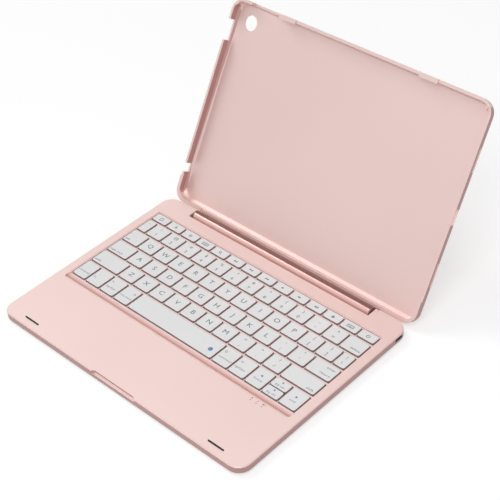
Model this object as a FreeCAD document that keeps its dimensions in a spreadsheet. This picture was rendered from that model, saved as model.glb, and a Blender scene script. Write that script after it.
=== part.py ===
"""Tablet keyboard case: a slim aluminium keyboard base and a snap-in tablet tray on a hinge barrel.

The keyboard base is modelled in deck coordinates: X across, Y from the front edge towards the hinge,
Z up from the deck's top face. The lid is modelled in lid coordinates on the hinge axis: X across,
Y along the tray away from the hinge, Z towards the glass side. Each sub-part's Placement then sets
it in the object's frame, whose origin is on the table under the middle of the opened case.
"""
import FreeCAD
import Part
import Sketcher
import math
import os
import re

# Driving sizes, in millimetres and degrees: name, value, what it is.
SIZES = [
    ("front_margin", 1.0, "base in front of the closed tray"),
    ("deck_corner", 11.0, "corner radius of base and tray, seen from above"),
    ("deck_skin", 1.6, "thickness of the deck's top plate"),
    ("deck_wall", 1.4, "thickness of the deck's side walls"),
    ("deck_side", 5.4, "height of the deck's side walls"),
    ("deck_edge", 0.7, "rounding of the deck's top edge"),
    ("base_height", 7.0, "deck's top face to the underside of the bottom cover"),
    ("bottom_plate", 1.0, "thickness of the bottom cover's floor"),
    ("bottom_edge", 1.2, "rounding of the bottom cover's lower edge"),
    ("foot_height", 1.0, "how far the rubber feet stand proud"),
    ("foot_seat", 0.3, "depth of the recess that holds a foot"),
    ("foot_length", 22.0, "length of a rubber foot"),
    ("foot_breadth", 7.0, "breadth of a rubber foot"),
    ("foot_side", 29.6, "deck's side to the middle of a foot"),
    ("foot_inset", 14.0, "deck's front or rear edge to the middle of a foot"),
    ("well_side_rim", 7.4, "deck's side to the keyboard recess"),
    ("well_rear_rim", 21.0, "deck's rear edge to the keyboard recess"),
    ("well_ramp", 6.0, "breadth of the rounded slope along the recess's front"),
    ("well_edge", 0.5, "breadth of the rounding on the recess's other edges"),
    ("well_corner", 3.6, "corner radius of the recess"),
    ("frame_lap", 1.6, "how far the key frame reaches under the deck's plate"),
    ("frame_web", 1.2, "thickness of the key frame between the keys"),
    ("frame_rim", 1.2, "thickness of the key frame's outer wall"),
    ("key_side_rim", 2.3, "recess's side to the keys"),
    ("key_rear_rim", 2.7, "recess's rear to the keys"),
    ("key_front_rim", 8.2, "recess's front edge to the keys"),
    ("key_depth", 14.25, "a standard key's top, front to rear"),
    ("function_depth", 8.0, "a back row key's top, front to rear"),
    ("bottom_row_depth", 17.7, "a front row key's top, front to rear"),
    ("key_gap", 1.9, "between the tops of two keys in a row"),
    ("row_gap", 2.7, "between the tops of two rows"),
    ("key_sink", 0.3, "key tops below the deck's face"),
    ("key_height", 2.0, "height of a keycap"),
    ("key_top", 0.8, "thickness of a keycap's top"),
    ("key_shell", 0.9, "thickness of a keycap's sides"),
    ("key_draft", 8.0, "slope of a keycap's sides, degrees"),
    ("key_play", 0.32, "clearance round a keycap in its hole"),
    ("grave_width", 8.35, "the narrow key left of the digits"),
    ("backspace_width", 17.95, "wide key right of the digits"),
    ("tab_width", 16.4, "tab key"),
    ("caps_width", 21.2, "caps lock key"),
    ("shift_width", 29.6, "left shift key"),
    ("control_width", 13.6, "key in the front left corner"),
    ("modifier_width", 14.3, "keys left of the space bar"),
    ("arrow_width", 14.66, "keys right of the space bar"),
    ("arrow_split", 0.95, "between the up and down keys"),
    ("plate_thickness", 0.4, "steel key support plate"),
    ("plate_drop", 5.1, "deck's face to the top of the support plate"),
    ("membrane", 0.3, "three-layer switch membrane"),
    ("dome_sheet", 0.3, "base of the rubber dome sheet"),
    ("dome_radius", 2.6, "foot of a rubber dome"),
    ("dome_crown", 1.5, "top of a rubber dome"),
    ("barrel_radius", 4.5, "hinge barrel's outer radius"),
    ("barrel_shell", 1.2, "wall of the hinge barrel"),
    ("barrel_cap", 1.2, "end walls of the hinge barrel"),
    ("barrel_split", 50.0, "tilt of the barrel's seam in the lid, degrees"),
    ("hinge_shoulder", 31.6, "deck's side to the hinge notch"),
    ("notch_depth", 10.3, "deck's rear edge to the notch's front wall"),
    ("notch_play", 1.2, "between the barrel's end and the notch's side"),
    ("axis_inset", 3.4, "deck's rear edge to the hinge axis"),
    ("axis_drop", 3.1, "deck's face to the hinge axis"),
    ("shaft_radius", 1.25, "hinge pin"),
    ("shaft_reach", 12.0, "hinge pin beyond the barrel's end"),
    ("shaft_fit", 0.03, "radial fit of a pin or screw in its hole"),
    ("sleeve_radius", 1.9, "friction sleeve's outer radius"),
    ("sleeve_length", 9.0, "friction sleeve along the pin"),
    ("clearance", 0.3, "play between a moving piece and what it passes"),
    ("bracket_thickness", 1.1, "foot plate of a hinge bracket"),
    ("bracket_length", 20.0, "foot plate of a hinge bracket along the hinge"),
    ("bracket_depth", 9.0, "foot plate of a hinge bracket, front to rear of the axis"),
    ("tongue_length", 22.0, "flat end of a hinge pin, inside the barrel"),
    ("tongue_half", 2.6, "half the breadth of the flat end"),
    ("tongue_thickness", 1.6, "thickness of the flat end"),
    ("tablet_width", 250.6, "tablet that the tray holds, long side"),
    ("tablet_height", 174.1, "tablet that the tray holds, short side"),
    ("tablet_thickness", 7.5, "tablet that the tray holds"),
    ("tablet_corner", 8.8, "corner radius of the tablet's pocket"),
    ("tablet_play", 0.3, "clearance round the tablet"),
    ("tray_wall", 2.0, "thickness of the tray's side walls"),
    ("tray_back", 1.5, "thickness of the tray's back"),
    ("tray_round", 6.0, "rounding of the tray's back edges"),
    ("pocket_edge", 2.2, "bevel between the pocket's floor and its walls"),
    ("glass_offset", 7.0, "hinge axis to the plane of the tablet's glass"),
    ("glass_start", 5.0, "hinge axis to the tablet's lower edge, along the lid"),
    ("lid_angle", 120.0, "opening angle of the lid at its stop, degrees"),
    ("lip_height", 1.2, "snap lips above the glass"),
    ("lip_reach", 1.1, "snap lips over the edge of the glass"),
    ("neck_thickness", 1.5, "flange that carries the tray on the barrel"),
    ("neck_screw_drop", 1.6, "plane of the glass to the neck's screws"),
    ("neck_screw_head", 1.4, "radius of a neck screw's head"),
    ("saddle_half", 1.6, "half the breadth of a saddle under a hinge pin's flat end"),
    ("saddle_inset", 2.0, "flat end of a hinge pin beyond its saddle"),
    ("pin_play", 1.0, "barrel's end wall to the flat end of a hinge pin"),
    ("neck_reach", 10.0, "hinge axis to the flange's end"),
    ("socket_rear", 12.6, "deck's rear edge to the middle of the charging socket"),
    ("socket_recess", 0.4, "deck's side to the socket's mouth"),
    ("socket_width", 9.0, "charging socket's shell, front to rear"),
    ("socket_height", 3.2, "charging socket's shell"),
    ("socket_depth", 6.5, "charging socket's shell, into the deck"),
    ("socket_shell", 0.35, "wall of the charging socket's shell"),
    ("socket_drop", 3.3, "deck's face to the socket's middle"),
    ("board_thickness", 0.8, "circuit boards"),
    ("charge_board_width", 8.0, "charging board, side to side"),
    ("charge_board_depth", 12.0, "charging board, front to rear"),
    ("battery_side", 35.6, "deck's side to the battery cells"),
    ("battery_height", 3.6, "one battery cell"),
    ("battery_front", 9.0, "deck's front edge to the battery cells"),
    ("battery_rear_rim", 6.7, "battery cells to the keyboard recess"),
    ("battery_corner", 1.5, "cut corners of a battery cell"),
    ("battery_gap", 3.0, "between the two battery cells"),
    ("board_width", 44.0, "control board, side to side"),
    ("board_depth", 28.0, "control board, front to rear"),
    ("board_side", 65.6, "deck's side to the left edge of the control board"),
    ("board_rear_rim", 2.7, "control board to the keyboard recess"),
    ("board_screw_inset", 3.0, "control board's edge to a screw"),
    ("chip_height", 0.9, "chips on the control board"),
    ("board_drop", 3.4, "deck's face to the control board's top"),
    ("light_side", 29.6, "deck's side to the right status light"),
    ("light_rim", 1.2, "light pipe round its pins"),
    ("light_pitch", 5.5, "between two status lights"),
    ("light_inset", 3.6, "recess's front edge to the status lights"),
    ("light_radius", 0.5, "a status light's pipe"),
    ("bumper_length", 15.2, "rubber strip in the palm rest"),
    ("bumper_breadth", 1.2, "rubber strip in the palm rest"),
    ("bumper_height", 0.5, "rubber strip above the deck's face"),
    ("bumper_seat", 0.8, "rubber strip's recess in the deck"),
    ("bumper_side", 29.3, "deck's side to the middle of a rubber strip"),
    ("bumper_inset", 7.0, "deck's front edge to the middle of a rubber strip"),
    ("scoop_length", 49.0, "thumb scoop in the front edge, side to side"),
    ("scoop_depth", 2.0, "thumb scoop, front to rear"),
    ("scoop_drop", 2.4, "thumb scoop below the deck's face"),
    ("port_width", 13.0, "cut-out for the tablet's port, along the side"),
    ("port_rise", 81.3, "tablet's lower edge to the port cut-out"),
    ("port_depth", 6.0, "cut-outs in the tray's walls, down from the glass"),
    ("jack_rise", 22.0, "tablet's lower edge to the headphone cut-out"),
    ("jack_width", 8.0, "headphone cut-out"),
    ("power_width", 18.0, "power button cut-out"),
    ("power_inset", 26.0, "tablet's upper edge to the middle of the power cut-out"),
    ("volume_width", 30.0, "volume button cut-out"),
    ("volume_inset", 32.0, "tablet's left edge to the middle of the volume cut-out"),
    ("speaker_width", 20.0, "speaker slot in the tray's right wall"),
    ("speaker_height", 2.6, "speaker slot in the tray's right wall"),
    ("speaker_reach", 46.0, "middle of the tablet's side to the middle of a speaker slot"),
    ("camera_radius", 6.5, "camera hole in the tray's back"),
    ("camera_inset", 15.0, "tablet's edges to the middle of the camera hole"),
    ("corner_wrap", 19.0, "tablet's lower edge to the end of a corner lip"),
    ("tab_length", 17.0, "snap tab along the tray's head wall"),
    ("tab_reach", 69.6, "centre line to the middle of a snap tab"),
    ("leaf_screw_inset", 16.0, "notch's end to the outer screws of the neck"),
    ("screw_shank", 0.9, "radius of a case screw"),
    ("screw_head", 1.9, "radius of a case screw's head"),
    ("screw_head_height", 0.6, "height of a case screw's head"),
    ("boss_radius", 2.3, "screw boss"),
    ("board_boss_radius", 1.8, "boss for a board screw"),
    ("pilot_floor", 0.4, "metal left above a case screw's pilot hole"),
    ("pilot_bite", 0.6, "how far the other pilot holes reach into the deck's plate"),
    ("case_screw_gap", 1.2, "tip of a case screw to the deck's plate"),
    ("screw_bite", 1.4, "how far a bracket or board screw reaches past its plate"),
    ("ramp_foot", 0.3, "step left between the slope's foot and the deck's underside"),
    ("stack_step", 0.2, "how much further in each layer under the keys starts"),
    ("foot_play", 0.05, "play round a foot in its recess"),
    ("charge_board_gap", 1.2, "deck's side wall to the charging board"),
    ("tongue_setback", 1.2, "charging socket's mouth to its tongue"),
    ("corner_screw_inset", 11.5, "deck's side and front edge to a front case screw"),
    ("side_screw_inset", 6.0, "deck's side to a side case screw"),
    ("rear_screw_reach", 60.0, "centre line to a rear case screw"),
    ("rear_screw_gap", 4.0, "key frame's rear to a rear case screw"),
]
# Sizes that follow from the others: name, formula, note.
FITTED = [
    ("deck_width", "tablet_width + 2 * (tablet_play + tray_wall)", "base as wide as the tray"),
    ("deck_depth", "glass_start + tablet_height + tablet_play + tray_wall + front_margin + axis_inset",
     "base under the closed tray, from its front edge to behind the hinge axis"),
    ("well_width", "deck_width - 2 * well_side_rim", "keyboard recess, side to side"),
    ("well_rear", "deck_depth - well_rear_rim", "deck's front edge to the rear of the recess"),
    ("key_field_width", "well_width - 2 * key_side_rim", "all the keys of a row at their tops"),
    ("key_field_rear", "well_rear - key_rear_rim", "deck's front edge to the rear of the back row"),
    ("key_field_front", "key_field_rear - function_depth - 5 * row_gap - 4 * key_depth - bottom_row_depth",
     "deck's front edge to the front of the front row"),
    ("well_front", "key_field_front - key_front_rim", "deck's front edge to the recess"),
    ("key_width", "(key_field_width - grave_width - backspace_width - 13 * key_gap) / 12",
     "a standard key's top, side to side"),
    ("space_width", "key_field_width - control_width - 3 * (modifier_width + key_gap)"
     " - 5 * (arrow_width + key_gap) - key_gap", "space bar"),
    ("notch_half", "deck_width / 2 - hinge_shoulder", "half the length of the hinge notch"),
    ("leaf_screw_reach", "notch_half - leaf_screw_inset", "centre line to the outer screws of the neck"),
    ("socket_middle", "deck_depth - socket_rear", "deck's front edge to the middle of the socket"),
    ("foot_reach", "deck_width / 2 - foot_side", "centre line to the middle of a foot"),
    ("bumper_reach", "deck_width / 2 - bumper_side", "centre line to the middle of a rubber strip"),
    ("light_right", "deck_width / 2 - light_side", "centre line to the right status light"),
    ("board_left", "deck_width / 2 - board_side", "centre line to the control board"),
    ("board_front", "well_front - board_rear_rim - board_depth", "deck's front edge to the board"),
    ("battery_depth", "well_front - battery_front - battery_rear_rim", "one battery cell, front to rear"),
    ("battery_width", "(board_left + deck_width / 2 - battery_side) / 2 - battery_gap",
     "one battery cell, side to side"),
]
NAMES = {name for name, value, note in SIZES + FITTED}

doc = FreeCAD.newDocument("TabletKeyboardCase")
sheet = doc.addObject("Spreadsheet::Sheet", "Sizes")
CELLS = [(name, str(size), note) for name, size, note in SIZES]
CELLS += [(name, f"={formula}", note) for name, formula, note in FITTED]
for line, (name, content, note) in enumerate(CELLS, start=1):
    sheet.set(f"A{line}", name)
    sheet.set(f"B{line}", content)
    sheet.set(f"C{line}", note)
    sheet.setAlias(f"B{line}", name)
doc.recompute()

X = FreeCAD.Vector(1, 0, 0)
Y = FreeCAD.Vector(0, 1, 0)
Z = FreeCAD.Vector(0, 0, 1)
SUB_PARTS = []


# ---------------------------------------------------------------- expressions

def bound(text):
    """The expression with every size's name looked up in the sheet."""
    return re.sub(r"[a-z_]+", lambda word: f"Sizes.{word[0]}" if word[0] in NAMES else word[0], str(text))


def value(text):
    """The expression's present value."""
    return float(sheet.evalExpression(bound(text)))


def bind(item, path, text):
    """Tie one property to an expression of the sheet."""
    item.setExpression(path, bound(text))


# -------------------------------------------------------- bodies and sketches

def new_body(label, kept=True):
    """An empty body that may hold several solids; a tool for a boolean isn't kept as a sub-part."""
    body = doc.addObject("PartDesign::Body", label)
    body.Label = label
    body.AllowCompound = True
    if kept:
        SUB_PARTS.append(body)
    return body


def boolean(kind, label, base, tools):
    """A sub-part made from a base body and several tools: Part::Cut or Part::Fuse."""
    group = doc.addObject("Part::Compound", f"{label}_tools")
    group.Links = tools
    result = doc.addObject(f"Part::{kind}", label)
    result.Label = label
    result.Base = base
    result.Tool = group
    doc.recompute()
    SUB_PARTS.append(result)
    return result


def new_sketch(body, name, role="XY_Plane", lift="0", turn=None):
    """A sketch on one of the body's own planes, lifted along its normal."""
    sketch = body.newObject("Sketcher::SketchObject", name)
    plane = next(item for item in body.Origin.OriginFeatures if item.Role == role)
    sketch.AttachmentSupport = (plane, [""])
    sketch.MapMode = "FlatFace"
    if turn:
        sketch.AttachmentOffset = FreeCAD.Placement(FreeCAD.Vector(0, 0, 0), FreeCAD.Rotation(Z, 1))
        bind(sketch, "AttachmentOffset.Rotation.Angle", turn)
    bind(sketch, "AttachmentOffset.Base.z", lift)
    return sketch


def dimension(sketch, kind, places, text):
    """Add one driving dimension tied to an expression."""
    number = sketch.addConstraint(Sketcher.Constraint(kind, *places, value(text)))
    sketch.setExpression(f"Constraints[{number}]", bound(text))


def polygon(sketch, corners):
    """A closed outline of straight lines through the corners, each a pair of expressions."""
    points = [FreeCAD.Vector(value(across), value(along), 0) for across, along in corners]
    first = sketch.GeometryCount
    count = len(points)
    for step in range(count):
        sketch.addGeometry(Part.LineSegment(points[step], points[(step + 1) % count]), False)
    for step in range(count):
        following = first + (step + 1) % count
        sketch.addConstraint(Sketcher.Constraint("Coincident", first + step, 2, following, 1))
    for step, (across, along) in enumerate(corners):
        dimension(sketch, "DistanceX", (-1, 1, first + step, 1), across)
        dimension(sketch, "DistanceY", (-1, 1, first + step, 1), along)


def rectangle(sketch, left, low, right, high):
    """A rectangle between two corners."""
    polygon(sketch, [(left, low), (right, low), (right, high), (left, high)])


def rounded_rectangle(sketch, left, low, right, high, radius):
    """A rectangle with equal round corners."""
    x0, y0, x1, y1, r = (value(text) for text in (left, low, right, high, radius))
    centres = [(x1 - r, y0 + r), (x1 - r, y1 - r), (x0 + r, y1 - r), (x0 + r, y0 + r)]
    starts = [(x0 + r, y0), (x1, y0 + r), (x1 - r, y1), (x0, y1 - r)]
    ends = [(x1 - r, y0), (x1, y1 - r), (x0 + r, y1), (x0, y0 + r)]
    first = sketch.GeometryCount
    for corner in range(4):
        sketch.addGeometry(Part.LineSegment(FreeCAD.Vector(*starts[corner], 0),
                                            FreeCAD.Vector(*ends[corner], 0)), False)
        circle = Part.Circle(FreeCAD.Vector(*centres[corner], 0), Z, r)
        turn = (corner - 1) * math.pi / 2
        sketch.addGeometry(Part.ArcOfCircle(circle, turn, turn + math.pi / 2), False)
    for corner in range(4):
        side = first + 2 * corner
        sketch.addConstraint(Sketcher.Constraint("Tangent", side, 2, side + 1, 1))
        following = first + 2 * ((corner + 1) % 4)
        sketch.addConstraint(Sketcher.Constraint("Tangent", side + 1, 2, following, 1))
        sketch.addConstraint(Sketcher.Constraint("Vertical" if corner % 2 else "Horizontal", side))
        if corner:
            sketch.addConstraint(Sketcher.Constraint("Equal", first + 1, side + 1))
    dimension(sketch, "Radius", (first + 1,), radius)
    dimension(sketch, "DistanceY", (-1, 1, first, 1), low)
    dimension(sketch, "DistanceX", (-1, 1, first + 2, 1), right)
    dimension(sketch, "DistanceY", (-1, 1, first + 4, 1), high)
    dimension(sketch, "DistanceX", (-1, 1, first + 6, 1), left)


def circle(sketch, across, along, radius):
    """A circle about a centre given by two expressions."""
    centre = FreeCAD.Vector(value(across), value(along), 0)
    number = sketch.addGeometry(Part.Circle(centre, Z, value(radius)), False)
    dimension(sketch, "Radius", (number,), radius)
    dimension(sketch, "DistanceX", (-1, 1, number, 3), across)
    dimension(sketch, "DistanceY", (-1, 1, number, 3), along)


def many_sided(sketch, across, along, radius, sides):
    """A regular outline about a centre."""
    turns = [360 / sides * step for step in range(sides)]
    polygon(sketch, [(f"{across} + ({radius}) * cos({turn})", f"{along} + ({radius}) * sin({turn})")
                     for turn in turns])


def hexagon(sketch, across, along, radius):
    """The outline of small screw shanks and their holes."""
    many_sided(sketch, across, along, radius, 6)


def octagon(sketch, across, along, radius):
    """The outline of small screw heads and their seats."""
    many_sided(sketch, across, along, radius, 8)


def cut_rectangle(sketch, left, low, right, high, cut):
    """A rectangle with its corners cut off."""
    polygon(sketch, [
        (f"{left} + {cut}", low), (f"{right} - {cut}", low), (right, f"{low} + {cut}"),
        (right, f"{high} - {cut}"), (f"{right} - {cut}", high), (f"{left} + {cut}", high),
        (left, f"{high} - {cut}"), (left, f"{low} + {cut}")])


# ------------------------------------------------------------------- features

def pad(body, sketch, length, down=False, both=False, taper=None):
    """Add material from a sketch; the body must gain volume."""
    before = body.Shape.Volume if body.Tip else 0.0
    feature = body.newObject("PartDesign::Pad", sketch.Name + "Pad")
    feature.Profile = sketch
    feature.Reversed = down
    feature.Midplane = both
    bind(feature, "Length", length)
    if taper:
        bind(feature, "TaperAngle", taper)
    doc.recompute()
    if body.Shape.Volume <= before:
        raise ValueError(f"{feature.Name} adds nothing")
    return feature


def pocket(body, sketch, length, up=False, both=False):
    """Take material away down from a sketch, or up; the body must lose volume."""
    before = body.Shape.Volume
    feature = body.newObject("PartDesign::Pocket", sketch.Name + "Pocket")
    feature.Profile = sketch
    feature.Reversed = up
    feature.Midplane = both
    bind(feature, "Length", length)
    doc.recompute()
    if body.Shape.Volume >= before:
        raise ValueError(f"{feature.Name} cuts nothing")
    return feature


def edge_names(feature, wanted):
    """Names of the feature's edges that the test picks."""
    return [f"Edge{n}" for n, edge in enumerate(feature.Shape.Edges, start=1) if wanted(edge)]


def dress(body, kind, feature, wanted, size):
    """Fillet or chamfer the edges that the test picks."""
    before = len(feature.Shape.Faces)
    dressed = body.newObject(f"PartDesign::{kind}", f"{feature.Name}{kind}")
    dressed.Base = (feature, edge_names(feature, wanted))
    bind(dressed, "Radius" if kind == "Fillet" else "Size", size)
    doc.recompute()
    if len(dressed.Shape.Faces) <= before:
        raise ValueError(f"{dressed.Name} rounds nothing: {dressed.State} {len(dressed.Base[1])} edges")
    return dressed


def slope(body, feature, angle):
    """Slope a block's sides outwards below its top face, which keeps its size."""
    faces = feature.Shape.Faces
    sides = [f"Face{n}" for n, face in enumerate(faces, start=1) if abs(face.normalAt(0, 0).z) < 0.5]
    top = max(range(len(faces)), key=lambda n: faces[n].CenterOfMass.z)
    draft = body.newObject("PartDesign::Draft", f"{feature.Name}Slope")
    draft.Base = (feature, sides)
    draft.NeutralPlane = (feature, [f"Face{top + 1}"])
    bind(draft, "Angle", angle)
    doc.recompute()
    if draft.Shape.Volume < feature.Shape.Volume:
        draft.Reversed = True
        doc.recompute()
    return draft


def level(edge, height):
    """Whether an edge lies flat at a height of the body's own Z."""
    box = edge.BoundBox
    return abs(box.ZMin - height) < 1e-3 and abs(box.ZMax - height) < 1e-3


# ----------------------------------------------------------------- placements

LID_DEPTH = "(glass_offset + tablet_thickness + tablet_play + tray_back)"
TRAY_FOOT = "(glass_start - tablet_play - tray_wall)"
TRAY_HEAD = "(glass_start + tablet_height + tablet_play + tray_wall)"
TILT = "(180 - lid_angle)"
AXIS_Y = "(deck_depth - axis_inset)"
REAR = (f"({AXIS_Y} + sin({TILT}) * ({LID_DEPTH} - tray_round)"
        f" + cos({TILT}) * ({TRAY_HEAD} - tray_round) + tray_round)")
MIDDLE = f"({REAR} / 2)"
TABLE = "(base_height + foot_height)"


def on_base(body):
    """Set a sub-part of the keyboard base in the object's frame."""
    bind(body, "Placement.Base.y", f"-{MIDDLE}")
    bind(body, "Placement.Base.z", TABLE)


def on_lid(body):
    """Set a sub-part of the lid on the hinge axis at its opening angle."""
    # Only the axis counts here: the binding below gives the angle.
    body.Placement = FreeCAD.Placement(FreeCAD.Vector(0, 0, 0), FreeCAD.Rotation(X, 1))
    bind(body, "Placement.Rotation.Angle", TILT)
    bind(body, "Placement.Base.y", f"{AXIS_Y} - {MIDDLE}")
    bind(body, "Placement.Base.z", f"{TABLE} - axis_drop")


# ------------------------------------------------------------------- the keys

FIELD_LEFT = "(-key_field_width / 2)"
PITCH = "(key_width + key_gap)"
FUNCTION_WIDTH = "((key_field_width + key_gap) / 14 - key_gap)"
SPACE_LEFT = f"({FIELD_LEFT} + control_width + key_gap + 3 * (modifier_width + key_gap))"
ARROW_LEFT = f"({SPACE_LEFT} + space_width + key_gap)"


def row_rear(row):
    """Rear edge of a row's key tops."""
    if row == 0:
        return "key_field_rear"
    return f"(key_field_rear - function_depth - row_gap - {row - 1} * (key_depth + row_gap))"


def row_depth(row):
    """Front-to-rear size of a row's key tops."""
    return {0: "function_depth", 5: "bottom_row_depth"}.get(row, "key_depth")


def letter_row(row, first, first_width, middle, count, last):
    """A row of standard keys between a first key of its own width and a last that fills the row."""
    start = f"({FIELD_LEFT} + {first_width} + key_gap)"
    end = f"({start} + {count} * {PITCH})"
    return [
        (first, row, FIELD_LEFT, first_width, 1),
        (middle, row, start, "key_width", count),
        (last, row, end, f"(key_field_width / 2 - {end})", 1),
    ]


# Keys that go down together or alone: name, row, left edge, width and how many in a line.
KEY_GROUPS = [
    ("function_keys", 0, FIELD_LEFT, FUNCTION_WIDTH, 13),
    ("power_key", 0, f"(key_field_width / 2 - {FUNCTION_WIDTH})", FUNCTION_WIDTH, 1),
    *letter_row(1, "grave_key", "grave_width", "number_keys", 12, "backspace_key"),
    *letter_row(2, "tab_key", "tab_width", "upper_letter_keys", 12, "backslash_key"),
    *letter_row(3, "caps_lock_key", "caps_width", "home_letter_keys", 11, "enter_key"),
    *letter_row(4, "left_shift_key", "shift_width", "lower_letter_keys", 10, "right_shift_key"),
    ("control_key", 5, FIELD_LEFT, "control_width", 1),
    ("left_modifier_keys", 5, f"({FIELD_LEFT} + control_width + key_gap)", "modifier_width", 3),
    ("space_bar", 5, SPACE_LEFT, "space_width", 1),
    ("right_modifier_keys", 5, ARROW_LEFT, "arrow_width", 2),
    ("left_arrow_key", 5, f"({ARROW_LEFT} + 2 * (arrow_width + key_gap))", "arrow_width", 1),
    ("right_arrow_key", 5, f"({ARROW_LEFT} + 4 * (arrow_width + key_gap))", "arrow_width", 1),
]
PAIR_LEFT = f"({ARROW_LEFT} + 3 * (arrow_width + key_gap))"
HALF_DEPTH = "((bottom_row_depth - arrow_split) / 2)"
KEY_SPREAD = "(key_height * tan(key_draft))"
KEY_FOOT = "(key_sink + key_height)"


def repeat(body, seed, axis, step, count):
    """Repeat the whole body along an axis of its sketch."""
    pattern = body.newObject("PartDesign::LinearPattern", f"{seed.Name}Row")
    pattern.TransformMode = "Whole shape"
    pattern.Direction = axis
    pattern.Mode = "Spacing"
    bind(pattern, "Offset", step)
    pattern.Occurrences = count
    body.Tip = pattern
    doc.recompute()
    return pattern


def make_keys(label, left, low, width, depth, count):
    """Keycaps in a line: sloped sides, hollow underneath."""
    body = new_body(label)
    outline = new_sketch(body, f"{label}_outline", lift="-key_sink")
    rectangle(outline, left, low, f"{left} + {width}", f"{low} + {depth}")
    block = pad(body, outline, "key_height", down=True)
    slope(body, block, "key_draft")
    hollow = new_sketch(body, f"{label}_hollow", lift=f"-{KEY_FOOT}")
    rectangle(hollow, f"{left} + key_shell", f"{low} + key_shell",
              f"{left} + {width} - key_shell", f"{low} + {depth} - key_shell")
    scoop = pocket(body, hollow, "key_height - key_top", up=True)
    if count > 1:
        repeat(body, scoop, (outline, ["H_Axis"]), f"{width} + key_gap", count)
    on_base(body)


for label, row, left, width, count in KEY_GROUPS:
    make_keys(label, left, f"({row_rear(row)} - {row_depth(row)})", width, row_depth(row), count)
make_keys("down_arrow_key", PAIR_LEFT, f"({row_rear(5)} - {row_depth(5)})", "arrow_width", HALF_DEPTH, 1)
make_keys("up_arrow_key", PAIR_LEFT, f"({row_rear(5)} - {HALF_DEPTH})", "arrow_width", HALF_DEPTH, 1)


# ---------------------------------------------------------- the keyboard base

SIDE = "(deck_width / 2)"
WELL_SIDE = "(well_width / 2)"
FRAME_SIDE = "(well_width / 2 - well_edge + frame_lap)"
FRAME_FRONT = "(well_front + well_ramp - frame_lap)"
FRAME_REAR = "(well_rear - well_edge + frame_lap)"
FLOOR = "(base_height - bottom_plate)"
NOTCH_FRONT = "(deck_depth - notch_depth)"
BARREL_HALF = "(notch_half - notch_play)"
SHAFT_HOLE = "(shaft_radius + clearance)"
PILOT = "(screw_shank + shaft_fit)"
BRACKET_START = "(notch_half + deck_wall + clearance)"
BRACKET_DROP = "(axis_drop + sleeve_radius)"
STATUS_LIGHTS = [f"(light_right - {number} * light_pitch)" for number in range(3)]
LIGHT_Y = "(well_front - light_inset)"
CASE_SCREWS = [
    ("-(deck_width / 2 - corner_screw_inset)", "corner_screw_inset"),
    ("(deck_width / 2 - corner_screw_inset)", "corner_screw_inset"),
    ("-(deck_width / 2 - side_screw_inset)", "(well_front - side_screw_inset)"),
    ("(deck_width / 2 - side_screw_inset)", "(well_front - side_screw_inset)"),
    ("-rear_screw_reach", f"({FRAME_REAR} + rear_screw_gap)"),
    ("rear_screw_reach", f"({FRAME_REAR} + rear_screw_gap)"),
]
BRACKET_SCREWS = [
    (f"({sign}({BRACKET_START} + {place} * bracket_length))", f"({AXIS_Y} - 2 * bracket_depth / 3)")
    for sign in ("-", "") for place in ("0.22", "0.78")
]
BOARD_SCREWS = [
    ("(board_left + board_screw_inset)", "(board_front + board_screw_inset)"),
    ("(board_left + board_width - board_screw_inset)", "(board_front + board_depth - board_screw_inset)"),
]


def holes(body, name, points, radius, lift, depth, up=False, outline=hexagon):
    """Holes at several places."""
    sketch = new_sketch(body, name, lift=lift)
    for across, along in points:
        outline(sketch, across, along, radius)
    return pocket(body, sketch, depth, up=up)


def posts(body, name, points, radius, lift, length, down=False, outline=hexagon):
    """Posts at several places."""
    sketch = new_sketch(body, name, lift=lift)
    for across, along in points:
        outline(sketch, across, along, radius)
    return pad(body, sketch, length, down=down)


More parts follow.
